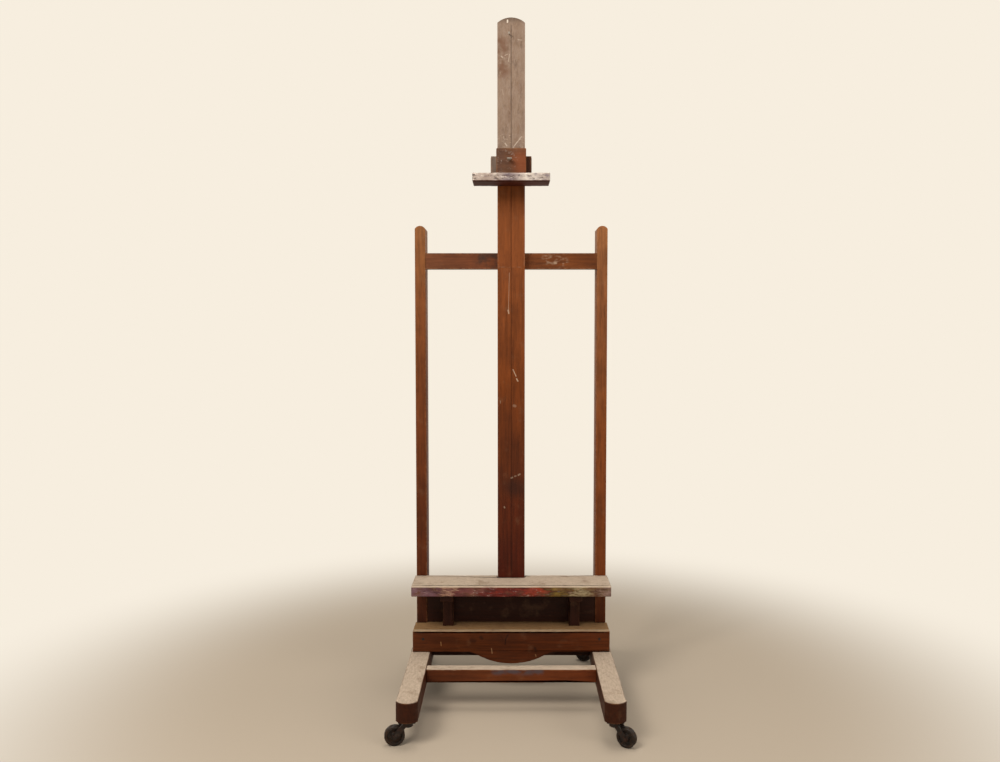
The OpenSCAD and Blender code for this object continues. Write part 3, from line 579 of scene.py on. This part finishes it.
# %% Old mahogany
def mahogany(name, node, grain, tones, along="z", edge="#9a6a45", edge_strength=0.45, dust=None,
             dust_cut=(0.3, 0.55), shine=0.5, contrast=1.0, marks=None):
    """Old oiled mahogany. tones is (metres along an axis, hex) stops; marks adds this board's own marks."""
    low, high = size_of(node)
    seed = 3.7 * (sum(map(ord, node)) % 23)
    material, tree, surface = new_material(name)
    place = add(tree, "ShaderNodeTexCoord").outputs["Object"]
    part = add(tree, "ShaderNodeSeparateXYZ", {0: place}).outputs["xyz".index(along)]
    wobble = blotches(tree, place, 60, (0.3, 0.7), seed)
    shift = add(tree, "ShaderNodeMath", {0: wobble, 1: WOBBLE, 2: part}, operation="MULTIPLY_ADD").outputs[0]
    tone = toned(tree, shift, tones, (tones[0][0], tones[-1][0]), WOBBLE / 2)
    streak = blotches(tree, place, 9, (0.25, 0.75), seed + 1, GRAIN[grain], 7.0, 0.62)
    strength = add(tree, "ShaderNodeMapRange", {"Value": streak, "To Min": 1 - 0.30 * contrast,
                                                "To Max": 1 + 0.30 * contrast}).outputs[0]
    wood = layer(tree, tone, strength, 1.0, "MULTIPLY")
    pores = blotches(tree, place, 2.6, (0.58, 0.70), seed + 2, GRAIN[grain], 3.0)
    wood = layer(tree, wood, "#1d0c06", meet(tree, pores, 0.35 * contrast))
    patina = blotches(tree, place, 120, (0.42, 0.7), seed + 3, detail=6.0)
    wood = layer(tree, wood, "#2b120a", meet(tree, patina, 0.30))
    grease = blotches(tree, place, 45, (0.55, 0.75), seed + 4, detail=5.0)
    wood = layer(tree, wood, "#8a6a50", meet(tree, grease, 0.16))
    rubbed = near_edge(tree, place, low, high, 6 * MM)
    chipped = meet(tree, rubbed, blotches(tree, place, 14, (0.38, 0.62), seed + 5, detail=6.0))
    wood = layer(tree, wood, edge, meet(tree, chipped, edge_strength))
    if marks:
        wood = marks(tree, place, wood)
    rough = blotches(tree, place, 30, (0.2, 0.8), seed + 6, GRAIN[grain])
    rough = add(tree, "ShaderNodeMapRange", {"Value": rough, "To Min": shine - 0.08,
                                             "To Max": shine + 0.14}).outputs[0]
    if dust:
        wood, rough = dusted(tree, place, wood, rough, grain, dust, dust_cut, seed)
    height = add(tree, "ShaderNodeMath", {0: streak, 1: pores}, operation="SUBTRACT").outputs[0]
    bump = add(tree, "ShaderNodeBump", {"Height": height, "Strength": 0.25, "Distance": 0.6 * MM})
    tree.links.new(wood, surface.inputs["Base Color"])
    tree.links.new(rough, surface.inputs["Roughness"])
    tree.links.new(bump.outputs[0], surface.inputs["Normal"])
    surface.inputs["IOR"].default_value = 1.5
    surface.inputs["Specular IOR Level"].default_value = SHEEN
    return material


def dress(node, material):
    """Gives a board's material to the piece that shows it, and says so."""
    data = wood_pieces[node].data
    data.materials.clear()
    data.materials.append(material)
    print(node, "is", material.name)


# %% [markdown]
# The posts and the mast are palest at eye height and darkest near the floor. Their ramps are partly the
# wood's own tone and partly painted shade, for the light that falls off downwards and the shade below the
# tray. A board's tones are given at heights in metres.

# %% Posts
POST_TONES = [(0.14, "#2c130a"), (0.36, "#52250e"), (0.85, "#683518"), (1.25, "#7c4724"), (1.54, "#885832")]
RIGHT_POST_TONES = [
    (0.14, "#3c1608"), (0.36, "#6a3414"), (0.85, "#79411d"), (1.25, "#8b5530"), (1.54, "#96623c"),
]
for node, tones in (("left_post", POST_TONES), ("right_post", RIGHT_POST_TONES)):
    dress(node, mahogany("oiled_mahogany_" + node, node, "z", tones, edge="#a8744a", edge_strength=0.25))

# %% [markdown]
# The mast's upper length stood in dust and smoke above the canvases, and has gone grey-brown. Its lower
# length was polished by canvases sliding on it. Its deep red ramp darkens towards the tray as painted shade,
# for the light that falls off downwards. Strokes and drips of pale paint cross it here and there.

# %% Mast
PALE = "#cdb59c"
GROOVE_DIRT = "#1e0c06"
MAST_SCRATCHES = [
    ((-0.006, 1.385), (-0.009, 1.262), 1.3, 0.45), ((-0.010, 1.262), (-0.008, 1.252), 3.5, 0.6),
    ((0.006, 1.066), (0.016, 1.044), 2.2, 0.65), ((0.018, 1.036), (0.022, 1.028), 3, 0.7),
    ((0.009, 0.946), (0.013, 0.945), 7, 0.22), ((0.000, 0.704), (0.004, 0.706), 4, 0.30),
    ((0.012, 0.710), (0.016, 0.711), 3.5, 0.26), ((0.024, 0.714), (0.029, 0.717), 4, 0.34),
    ((-0.023, 0.607), (-0.022, 0.604), 3.5, 0.35), ((-0.036, 0.962), (-0.036, 0.955), 2.5, 0.25),
]


def mast_marks(tree, place, wood):
    """Pale scratches, one dark smudge and a dark groove on the front of the lower mast."""
    front = facing(tree, (0, -1, 0))
    groove = scratch(tree, place, (0, 0.3), (0, 2.2), 2.4 * MM, 0.4)
    wood = layer(tree, wood, GROOVE_DIRT, meet(tree, groove, 0.4))
    smudge = scratch(tree, place, (0.005, 0.675), (0.018, 0.672), 34 * MM)
    wood = layer(tree, wood, "#231510", meet(tree, smudge, front, 0.6))
    for start, end, width, strength in MAST_SCRATCHES:
        stroke = scratch(tree, place, start, end, width * MM, 0.5)
        wood = layer(tree, wood, PALE, meet(tree, stroke, front, strength))
    return wood


# %% [markdown]
# The upper length's own marks: a veil of grey dust, finer pale and dark grain in it, a darker rim at the
# rounded top, one patch rubbed back to brown, and scuffs where the holder has been clamped.

# %% Upper mast
UPPER_SCRATCHES = [
    ((0.012, 1.800), (0.034, 1.828), 2, 0.5), ((0.006, 1.792), (0.020, 1.812), 1.6, 0.5),
    ((-0.020, 1.806), (-0.014, 1.798), 3, 0.6), ((-0.006, 2.092), (-0.009, 2.068), 1.6, 0.5),
    ((0.022, 2.138), (0.034, 2.137), 2, 0.4), ((-0.012, 2.092), (-0.020, 2.088), 2, 0.4),
    ((-0.032, 2.085), (-0.028, 2.082), 3, 0.5), ((-0.030, 1.98), (-0.026, 1.962), 2, 0.25),
]


def upper_mast_marks(tree, place, wood):
    """Grey dust that thickens upwards, one rubbed brown patch, scratches, and scuffs near the holder."""
    front = facing(tree, (0, -1, 0))
    height = add(tree, "ShaderNodeSeparateXYZ", {0: place}).outputs[2]
    above = add(tree, "ShaderNodeMapRange", {"Value": height, "From Min": 1.68, "From Max": 1.80},
                interpolation_type="SMOOTHSTEP").outputs[0]
    veil = blotches(tree, place, 28, (0.1, 0.62), 5, (1, 1, 3), 8.0, 0.65)
    wood = layer(tree, wood, "#95806f", meet(tree, above, veil, 0.8))
    fine = blotches(tree, place, 5, (0.35, 0.7), 7, (1, 1, 3), 7.0, 0.75)
    wood = layer(tree, wood, "#a99a92", meet(tree, above, fine, 0.35))
    dirt = blotches(tree, place, 16, (0.52, 0.72), 15, (1, 1, 2.5), 8.0, 0.7)
    wood = layer(tree, wood, "#4e3a30", meet(tree, above, dirt, 0.5))
    top_rim = add(tree, "ShaderNodeMapRange", {"Value": height, "From Min": 2.188,
                                               "From Max": 2.204}).outputs[0]
    wood = layer(tree, wood, "#4a3a30", meet(tree, top_rim, 0.55))
    patch = scratch(tree, place, (-0.036, 2.125), (-0.028, 2.04), 32 * MM, 0.7)
    patch = meet(tree, patch, blotches(tree, place, 22, (0.35, 0.6), 9, detail=6.0))
    wood = layer(tree, wood, "#6b4632", meet(tree, patch, front, 0.65))
    for start, end, width, strength in UPPER_SCRATCHES:
        stroke = scratch(tree, place, start, end, width * MM, 0.5)
        wood = layer(tree, wood, "#d8cabc", meet(tree, stroke, front, strength))
    scuffs = blotches(tree, place, 6, (0.56, 0.68), 12, (2, 1, 1), 6.0, 0.68)
    low_band = scratch(tree, place, (-0.05, 1.808), (0.05, 1.808), 50 * MM, 0.4)
    wood = layer(tree, wood, "#cfc0b2", meet(tree, scuffs, low_band, 0.6))
    groove = scratch(tree, place, (0, 0.3), (0, 2.185), 2.4 * MM, 0.4)
    wood = layer(tree, wood, GROOVE_DIRT, meet(tree, groove, 0.4))
    # A painted highlight: a small pale spot at the top of the mast for the glint of a nail head.
    painted_nail_glint = scratch(tree, place, (-0.012, 2.200), (-0.012, 2.194), 4 * MM, 0.4)
    return layer(tree, wood, "#e6dccf", meet(tree, painted_nail_glint, 0.9))


# %% [markdown]
# The two lengths meet in a lap joint at 1.40 m, so both ramps have the same brown there.

# %% Mast tones
# The lower ramp's darkening towards the tray is painted shade over the wood's deep red.
LOWER_MAST_TONES_AND_SHADE = [(0.33, "#451407"), (0.50, "#4c1c0a"), (0.72, "#552710"), (1.00, "#6b3513"), (1.40, "#804622")]
UPPER_TONES = [(1.40, "#804622"), (1.66, "#824822"), (1.78, "#6c4f3c"), (2.21, "#745c4a")]
dress("mast_lower", mahogany("polished_mahogany_mast", "mast_lower", "z", LOWER_MAST_TONES_AND_SHADE,
                             marks=mast_marks, shine=0.45, edge_strength=0.15))
dress("mast_upper", mahogany("dusty_mahogany_mast", "mast_upper", "z", UPPER_TONES,
                             marks=upper_mast_marks, edge="#a08a76", edge_strength=0.2, shine=0.6,
                             contrast=0.7))

# %% [markdown]
# The crossbar carries a dark smear beside the mast on its left, and a faint pale rub on its right half.

# %% Crossbar
def crossbar_marks(tree, place, wood):
    """The crossbar's dark smear and its faint rub."""
    front = facing(tree, (0, -1, 0))
    smear = scratch(tree, place, (-0.085, 1.428), (-0.045, 1.430), 46 * MM, 0.7)
    smear = meet(tree, smear, blotches(tree, place, 25, (0.3, 0.6), 4))
    wood = layer(tree, wood, "#2c2522", meet(tree, smear, front, 0.75))
    rub = scratch(tree, place, (0.120, 1.432), (0.170, 1.424), 26 * MM, 0.6)
    rub = meet(tree, rub, blotches(tree, place, 8, (0.5, 0.68), 8, (2, 1, 1), 6.0))
    wood = layer(tree, wood, PALE, meet(tree, rub, front, 0.30))
    dot = scratch(tree, place, (0.145, 1.419), (0.149, 1.419), 5 * MM, 0.5)
    return layer(tree, wood, PALE, meet(tree, dot, front, 0.45))


CROSSBAR_TONES = [(-0.29, "#6c4028"), (-0.10, "#6c3c24"), (0.10, "#74401f"), (0.29, "#6e3c1c")]
dress("crossbar", mahogany("oiled_mahogany_crossbar", "crossbar", "x", CROSSBAR_TONES, "x",
                           dust="#a58c74", marks=crossbar_marks))

# %% [markdown]
# ## Paint on the tray
# A painter wipes brushes on the tray's front edge. Year after year this leaves a crust of colours that drag
# sideways. The crust's colour is a ramp from left to right, shaken by noise, so its borders are ragged.

# %% Smears of paint
def smeared(tree, place, wood, colours, low, high, cover, shake=18, seed=0.0):
    """Dragged paint: colours by place from left to right, shaken sideways by noise, over part of the wood."""
    x = add(tree, "ShaderNodeSeparateXYZ", {0: place}).outputs[0]
    ragged = add(tree, "ShaderNodeTexNoise", {
        "Vector": add(tree, "ShaderNodeMapping", {"Vector": place, "Location": (seed, 0, 0),
                                                  "Scale": (0.5, 1, 2.2)}).outputs[0],
        "Scale": 1 / (16 * MM), "Detail": 6.0, "Roughness": 0.62}).outputs[0]
    push = add(tree, "ShaderNodeMapRange", {"Value": ragged, "From Min": 0.25, "From Max": 0.75,
                                            "To Min": -shake * MM, "To Max": shake * MM}).outputs[0]
    moved = add(tree, "ShaderNodeMath", {0: x, 1: push}, operation="ADD").outputs[0]
    paint = toned(tree, moved, colours, (low[0], high[0]))
    crust = blotches(tree, place, 20, cover, seed + 2, (2.2, 1, 1), 7.0, 0.66)
    return layer(tree, wood, paint, crust)


# %% [markdown]
# The tray's own paint runs from mauve at the left, through reds, to ochre and dirty white at the right. Small
# flecks of other colours and dark grime break it up.

# %% Tray
TRAY_PAINT = [
    (-0.325, "#7d6068"), (-0.25, "#6f4c54"), (-0.222, "#74504a"), (-0.202, "#b48f78"), (-0.182, "#6d4040"),
    (-0.11, "#7a4846"), (-0.07, "#5e2824"), (-0.02, "#7e3028"), (0.01, "#562020"), (0.05, "#8a382c"),
    (0.085, "#9c3e28"), (0.11, "#4c3420"), (0.16, "#8f7436"), (0.19, "#5c4a2c"), (0.225, "#b4a480"),
    (0.26, "#7c6642"), (0.325, "#92786e"),
]


TRAY_FLECKS = [("#d9b6a4", 0.6), ("#8c3024", 0.8), ("#3a2a20", 0.7), ("#9a8a8c", 0.5)]


def tray_marks(tree, place, wood):
    """Crusted paint on the tray's front and ends, and a painted highlight along its upper front edge."""
    low, high = size_of("tray_board")
    front = facing(tree, (0, -1, 0), 0.3, 0.6)
    painted = smeared(tree, place, wood, TRAY_PAINT, low, high, (0.30, 0.55), 55, seed=3)
    for number, (colour, strength) in enumerate(TRAY_FLECKS):
        flecks = blotches(tree, place, 9, (0.60, 0.70), 21 + 3.1 * number, (2.5, 1, 1), 5.0, 0.66)
        painted = layer(tree, painted, colour, meet(tree, flecks, strength))
    grime = blotches(tree, place, 22, (0.40, 0.66), 31, (2.5, 1, 1), 8.0, 0.7)
    painted = layer(tree, painted, "#2a1512", meet(tree, grime, 0.55))
    wood = layer(tree, wood, painted, front)
    # A painted highlight: a pale line along the top of the front face, broken up by noise.
    height = add(tree, "ShaderNodeSeparateXYZ", {0: place}).outputs[2]
    top = add(tree, "ShaderNodeMapRange", {"Value": height, "From Min": high[2] - 6 * MM,
                                           "From Max": high[2] - 3.5 * MM},
              interpolation_type="SMOOTHSTEP").outputs[0]
    broken_highlight = blotches(tree, place, 25, (0.25, 0.5), 41, (3, 1, 1), 6.0)
    return layer(tree, wood, "#cbbba6", meet(tree, top, front, broken_highlight, 0.85))


TRAY_TONES = [(-0.33, "#6d4a38"), (0.33, "#6d4a38")]
dress("tray_board", mahogany("painted_mahogany_tray", "tray_board", "x", TRAY_TONES, "x", dust="#b7a694",
                             dust_cut=(0.05, 0.35), marks=tray_marks, shine=0.7, edge="#c9b59c"))

# %% [markdown]
# The holder's lip has the same kind of crust, but whitish and lilac. Its underside and the plate above it
# stay brown.

# %% Canvas holder
LIP_PAINT = [
    (-0.124, "#c8bab2"), (-0.08, "#a4938a"), (-0.045, "#b8a9a0"), (-0.01, "#7c7078"), (0.02, "#a89a96"),
    (0.05, "#d8cfc6"), (0.085, "#c9beb8"), (0.110, "#a99c96"), (0.124, "#bdb2ac"),
]


LIP_FLECKS = [("#ece4dc", 0.8), ("#43332c", 0.85), ("#6c6274", 0.6)]


def lip_marks(tree, place, wood):
    """Pale crust on the lip's front."""
    low, high = size_of("holder_lip")
    front = facing(tree, (0, -1, 0), 0.3, 0.6)
    painted = smeared(tree, place, wood, LIP_PAINT, low, high, (0.26, 0.44), 12, 8)
    for number, (colour, strength) in enumerate(LIP_FLECKS):
        flecks = blotches(tree, place, 8, (0.52, 0.64), 51 + 2.7 * number, (2.5, 1, 1), 6.0, 0.7)
        painted = layer(tree, painted, colour, meet(tree, flecks, strength))
    height = add(tree, "ShaderNodeSeparateXYZ", {0: place}).outputs[2]
    bare = add(tree, "ShaderNodeMapRange", {"Value": height, "From Min": low[2] + 4 * MM,
                                            "From Max": low[2] + 2 * MM},
               interpolation_type="SMOOTHSTEP").outputs[0]
    painted = layer(tree, painted, "#4a1c0e", bare)
    return layer(tree, wood, painted, front)


# %% [markdown]
# The plate above the lip is bare wood, warmer on its right. Its screw has gathered dust and paint.

# %% Plate and cheeks
def plate_marks(tree, place, wood):
    """A warm area on the plate's upper right, and grey dust and paint round the screw."""
    front = facing(tree, (0, -1, 0))
    warm = scratch(tree, place, (0.030, 1.75), (0.036, 1.73), 36 * MM, 0.8)
    wood = layer(tree, wood, "#884626", meet(tree, warm, front, 0.6))
    dusty = blotches(tree, place, 9, (0.56, 0.70), 61, detail=6.0, rough=0.68)
    around = scratch(tree, place, (-0.012, 1.762), (-0.022, 1.735), 44 * MM, 0.6)
    return layer(tree, wood, "#a89a90", meet(tree, dusty, around, front, 0.75))


PLATE_TONES = [(-0.05, "#5c4032"), (0.0, "#64432f"), (0.05, "#6e4026")]
LIP_TONES = [(1.66, "#4c1e10"), (1.70, "#4c1e10")]
dress("holder_lip", mahogany("painted_mahogany_lip", "holder_lip", "x", LIP_TONES,
                             dust="#b9ab9c", marks=lip_marks, shine=0.65, edge="#a08c7c"))
dress("holder_front_plate", mahogany("mahogany_plate", "holder_front_plate", "x", PLATE_TONES, "x",
                                     marks=plate_marks))
# The left cheek is dust-grey and painted lighter as its lit side. The right cheek and the back plate are
# painted darker, as painted shade from the plate and the mast in front.
LIT_DUSTY_CHEEK_TONES = [(1.66, "#75655c"), (1.77, "#7c6c62")]
SHADED_HOLDER_TONES = [(1.66, "#4a2c20"), (1.77, "#52301f")]
dress("holder_left_cheek", mahogany("lit_dusty_mahogany_cheek", "holder_left_cheek", "z", LIT_DUSTY_CHEEK_TONES))
dress("holder_right_cheek", mahogany("shaded_mahogany_cheek", "holder_right_cheek", "z", SHADED_HOLDER_TONES))
dress("holder_back_plate", mahogany("shaded_mahogany_back_plate", "holder_back_plate", "z", SHADED_HOLDER_TONES))

# %% [markdown]
# ## The base's wood
# Everything below the tray is darker, and its upper faces are thick with dust. The apron has long sideways
# grain, old screws and a few scars.

# %% Apron and shelf
APRON_SCARS = [
    ((-0.010, 0.196), (-0.018, 0.180), 3, "#1c0a06", 0.8),
    ((-0.018, 0.180), (-0.020, 0.162), 3, "#1c0a06", 0.8),
    ((-0.034, 0.190), (-0.026, 0.176), 2, "#1c0a06", 0.45),
    ((-0.232, 0.170), (-0.231, 0.158), 2, "#b98a5c", 0.5),
    ((-0.065, 0.148), (-0.063, 0.132), 2, "#c49a70", 0.5),
    ((-0.100, 0.186), (-0.097, 0.183), 9, "#1c0a06", 0.6),
    ((-0.130, 0.176), (-0.122, 0.174), 12, "#1c0a06", 0.5),
    ((0.078, 0.150), (0.082, 0.140), 6, "#160805", 0.6),
    ((0.080, 0.128), (0.082, 0.121), 2, "#c49a70", 0.4),
]


def apron_marks(tree, place, wood):
    """Cracks, knots and pale scuffs on the apron."""
    front = facing(tree, (0, -1, 0))
    for start, end, width, colour, strength in APRON_SCARS:
        mark = scratch(tree, place, start, end, width * MM, 0.5)
        wood = layer(tree, wood, colour, meet(tree, mark, front, strength))
    return wood


APRON_TONES = [(-0.33, "#562a10"), (-0.10, "#4f250d"), (0.10, "#4c220c"), (0.33, "#58290e")]
SHELF_TONES = [(-0.33, "#5a3a20"), (0.33, "#5a3a20")]
dress("apron", mahogany("oiled_mahogany_apron", "apron", "x", APRON_TONES, "x", edge="#7a4c30",
                        marks=apron_marks, dust="#b39a7c", contrast=1.2))
dress("shelf_board", mahogany("dusty_mahogany_shelf", "shelf_board", "x", SHELF_TONES, "x",
                              dust="#8f6f4c", dust_cut=(0.05, 0.3), edge="#8a6a48"))

# %% [markdown]
# The runners and the stretchers stand lowest. Dust has settled thickly on their upper faces, and their sides
# are nearly black-brown. Some blue-grey paint has run down the front stretcher.

# %% Runners and stretchers
RUNNER_TONES = [(-0.36, "#341608"), (-0.10, "#45200e"), (0.36, "#361808")]
for side in ("left", "right"):
    node = side + "_runner"
    dress(node, mahogany("dusty_mahogany_" + node, node, "y", RUNNER_TONES, "y", dust="#b7a694",
                         dust_cut=(0.0, 0.3)))


def stretcher_marks(tree, place, wood):
    """A blue-grey paint stain in the middle of the front stretcher's upper edge."""
    low, high = size_of("front_stretcher")
    front = facing(tree, (0, -1, 0))
    stain = scratch(tree, place, (-0.05, high[2] - 6 * MM), (0.09, high[2] - 6 * MM), 14 * MM, 0.8)
    stain = meet(tree, stain, blotches(tree, place, 16, (0.35, 0.6), 17, (2, 1, 1), 6.0))
    return layer(tree, wood, "#4d464c", meet(tree, stain, front, 0.8))


FRONT_TONES = [(-0.27, "#4c2410"), (0.0, "#643216"), (0.27, "#6a3216")]
dress("front_stretcher", mahogany("dusty_mahogany_front_stretcher", "front_stretcher", "x", FRONT_TONES, "x",
                                  dust="#bbaa98", dust_cut=(0.0, 0.3), marks=stretcher_marks))
# The hidden boards under the tray and at the back are painted nearly black-brown: painted shade for the deep
# shade they stand in.
HIDDEN = {
    "mid_stretcher": "x", "rear_stretcher": "x", "left_brace": "z", "right_brace": "z", "left_bearer": "y",
    "right_bearer": "y", "rack_rail": "z", "carriage_back": "x", "left_tray_leg": "z", "right_tray_leg": "z",
    "left_tray_batten": "y", "right_tray_batten": "y",
}
for node, grain in HIDDEN.items():
    low, high = size_of(node)
    tones = [(low[2], "#2a1108"), (high[2] + 1 * MM, "#301509")]
    dust = "#a8957e" if node.endswith("stretcher") else None
    dress(node, mahogany("dark_mahogany_" + node, node, grain, tones, dust=dust, edge="#6a4228",
                         edge_strength=0.25))
print(len([m for m in bpy.data.materials if "mahogany" in m.name]), "wood materials")

# %% [markdown]
# ## Iron
# The casters and the pawl are wrought and cast iron: black scale over grey metal, with brown rust where damp
# got in. Scale and rust aren't metallic, so bare metal shows only where the noise cuts through them.

# %% Iron
def iron(name, scale_colour, rust_colour, bare, rust_cut):
    """Old iron. bare is how much clean metal shows; rust_cut is how much rust."""
    material, tree, surface = new_material(name)
    place = add(tree, "ShaderNodeTexCoord").outputs["Object"]
    rust = blotches(tree, place, 9, rust_cut, 2.0, detail=8.0, rough=0.65)
    grit = blotches(tree, place, 2.5, (0.3, 0.7), 5.0, detail=4.0)
    worn = meet(tree, blotches(tree, place, 14, (0.5, 0.7), 8.0, detail=6.0), bare)
    colour = layer(tree, linear(scale_colour), rust_colour, rust)
    colour = layer(tree, colour, "#0c0908", meet(tree, grit, 0.35))
    colour = layer(tree, colour, "#8d857c", worn)
    rough = add(tree, "ShaderNodeMapRange", {"Value": rust, "To Min": 0.42, "To Max": 0.85}).outputs[0]
    bump = add(tree, "ShaderNodeBump", {"Height": grit, "Strength": 0.4, "Distance": 0.4 * MM})
    tree.links.new(colour, surface.inputs["Base Color"])
    tree.links.new(rough, surface.inputs["Roughness"])
    tree.links.new(worn, surface.inputs["Metallic"])
    surface.inputs["Specular IOR Level"].default_value = 2 * SHEEN
    tree.links.new(bump.outputs[0], surface.inputs["Normal"])
    return material


CAST = iron("rusted_cast_iron", "#1b1411", "#34200f", 0.08, (0.42, 0.66))
WROUGHT = iron("black_wrought_iron", "#1d1512", "#3c2214", 0.10, (0.44, 0.68))
RUBBED = iron("rubbed_iron_screw", "#a39a90", "#8a7060", 0.5, (0.60, 0.80))
for node in IRON:
    data = frame["nodes"][node].data
    data.materials.clear()
    rubbed = node in ("clamp_screw", "mast_stop_pin")
    data.materials.append(RUBBED if rubbed else CAST if node.startswith("wheel") else WROUGHT)
print(len(IRON), "iron parts")
pegs = frame["nodes"]["tenon_pegs"].data
pegs.materials.clear()
pegs.materials.append(mahogany("end_grain_pegs", "tenon_pegs", "y", [(0.1, "#5a3620"), (1.5, "#6a4228")]))

# %% [markdown]
# ## Light, floor and camera
# The floor is one wide disc. It is plain pale grey near the easel and fades to the colour of the background
# with distance, so no horizon shows, and it keeps the easel's soft shadow.

# %% Floor
BACKDROP = "#f7eedf"
FLOOR = "#b9ad9d"


def fade_out(tree, place, near, far):
    """0 within near metres of the middle of the floor, 1 beyond far."""
    away = add(tree, "ShaderNodeVectorMath", {0: place}, operation="LENGTH").outputs["Value"]
    return add(tree, "ShaderNodeMapRange", {"Value": away, "From Min": near, "From Max": far},
               interpolation_type="SMOOTHERSTEP").outputs[0]


def sees_backdrop(tree):
    """1 for rays from the camera, in mirrors and through glass, and 0 for rays that carry light."""
    path = add(tree, "ShaderNodeLightPath").outputs
    seen = add(tree, "ShaderNodeMath", {0: path["Is Camera Ray"], 1: path["Is Glossy Ray"]},
               operation="MAXIMUM")
    seen = add(tree, "ShaderNodeMath", {0: seen.outputs[0], 1: path["Is Transmission Ray"]},
               operation="MAXIMUM")
    return seen.outputs[0]


# %% [markdown]
# The disc is flat, so rings at a few radii are enough. The easel's own shadow falls in the middle of it.

# %% Floor disc
ring, turn = np.meshgrid(np.array([0.1, 1, 2, 4, 8, 40]), np.linspace(0, 2 * np.pi, 65)[:-1], indexing="ij")
disc = np.stack([ring * np.cos(turn), ring * np.sin(turn), 0 * ring - 0.2 * MM], axis=-1).reshape(-1, 3)
mesh = bpy.data.meshes.new("floor")
mesh.from_pydata(disc.tolist(), [], ring_faces(6, 64)[:-1])
floor = bpy.data.objects.new("floor", mesh)
bpy.context.collection.objects.link(floor)
material, tree, surface = new_material("pale_floor")
surface.inputs["Base Color"].default_value = linear(FLOOR)
surface.inputs["Roughness"].default_value = 0.9
surface.inputs["Specular IOR Level"].default_value = 0.1
place = add(tree, "ShaderNodeTexCoord").outputs["Object"]
glow = add(tree, "ShaderNodeEmission", {"Color": linear(BACKDROP), "Strength": 1.0})
faded = meet(tree, fade_out(tree, place, 0.75, 2.2), sees_backdrop(tree))
mixed = add(tree, "ShaderNodeMixShader", {0: faded, 1: surface.outputs[0], 2: glow.outputs[0]})
tree.links.new(mixed.outputs[0], tree.nodes["Material Output"].inputs["Surface"])
floor.data.materials.append(material)
print("floor", round(2 * ring.max()), "m across")

# %% [markdown]
# The world shows the camera and the shiny metal a pale backdrop, and lights everything else more weakly, so
# the background is bright without washing out the wood. Two soft lamps do the rest: a large one up on the
# left in front, and a weak one on the right.

# %% World and lamps
scene = bpy.context.scene
world = bpy.data.worlds.new("studio")
scene.world = world
world.use_nodes = True
tree = world.node_tree
shown = add(tree, "ShaderNodeBackground", {"Color": linear(BACKDROP), "Strength": 1.0})
lighting = add(tree, "ShaderNodeBackground", {"Color": linear("#fffaf2"), "Strength": 0.34})
mixed = add(tree, "ShaderNodeMixShader", {0: sees_backdrop(tree), 1: lighting.outputs[0],
                                          2: shown.outputs[0]})
tree.links.new(mixed.outputs[0], tree.nodes["World Output"].inputs["Surface"])


def lamp(name, place, target, size, power, colour="#fff6ea"):
    """A square area lamp that points at a target."""
    data = bpy.data.lights.new(name, "AREA")
    data.size, data.energy, data.color = size, power, linear(colour)[:3]
    light = bpy.data.objects.new(name, data)
    light.location = place
    aim = np.array(target) - np.array(place)
    tip = np.arctan2(np.hypot(aim[0], aim[1]), -aim[2])
    light.rotation_euler = (tip, 0, np.arctan2(aim[0], -aim[1]) + np.pi)
    bpy.context.collection.objects.link(light)


lamp("key", (-1.7, -2.4, 3.4), (0, 0, 1.2), 1.6, 108)
lamp("fill", (2.6, -2.2, 1.9), (0, 0, 1.2), 2.0, 32)
lamp("top", (0.2, 0.3, 4.6), (0, 0, 0), 2.0, 60)
print(len(bpy.data.lights), "lamps")

# %% [markdown]
# The camera stands at chest height, tipped down by three degrees.

# %% Camera
data = bpy.data.cameras.new("camera")
data.lens, data.shift_x = 31.66, -0.0112
camera = bpy.data.objects.new("camera", data)
camera.location = (0, -2.80, 1.1885)
camera.rotation_euler = (np.radians(90 - 3.15), 0, 0)
bpy.context.collection.objects.link(camera)
scene.camera = camera
scene.view_settings.view_transform = "Standard"
print("camera", round(-camera.location.y, 2), "m in front, lens", data.lens, "mm")

# %% [markdown]
# The last step updates the scene and prints how many faces the wooden pieces have.

# %% Finish
bpy.context.view_layer.update()
print("faces in the wooden pieces:", sum(len(p.data.polygons) for p in wood_pieces.values()))
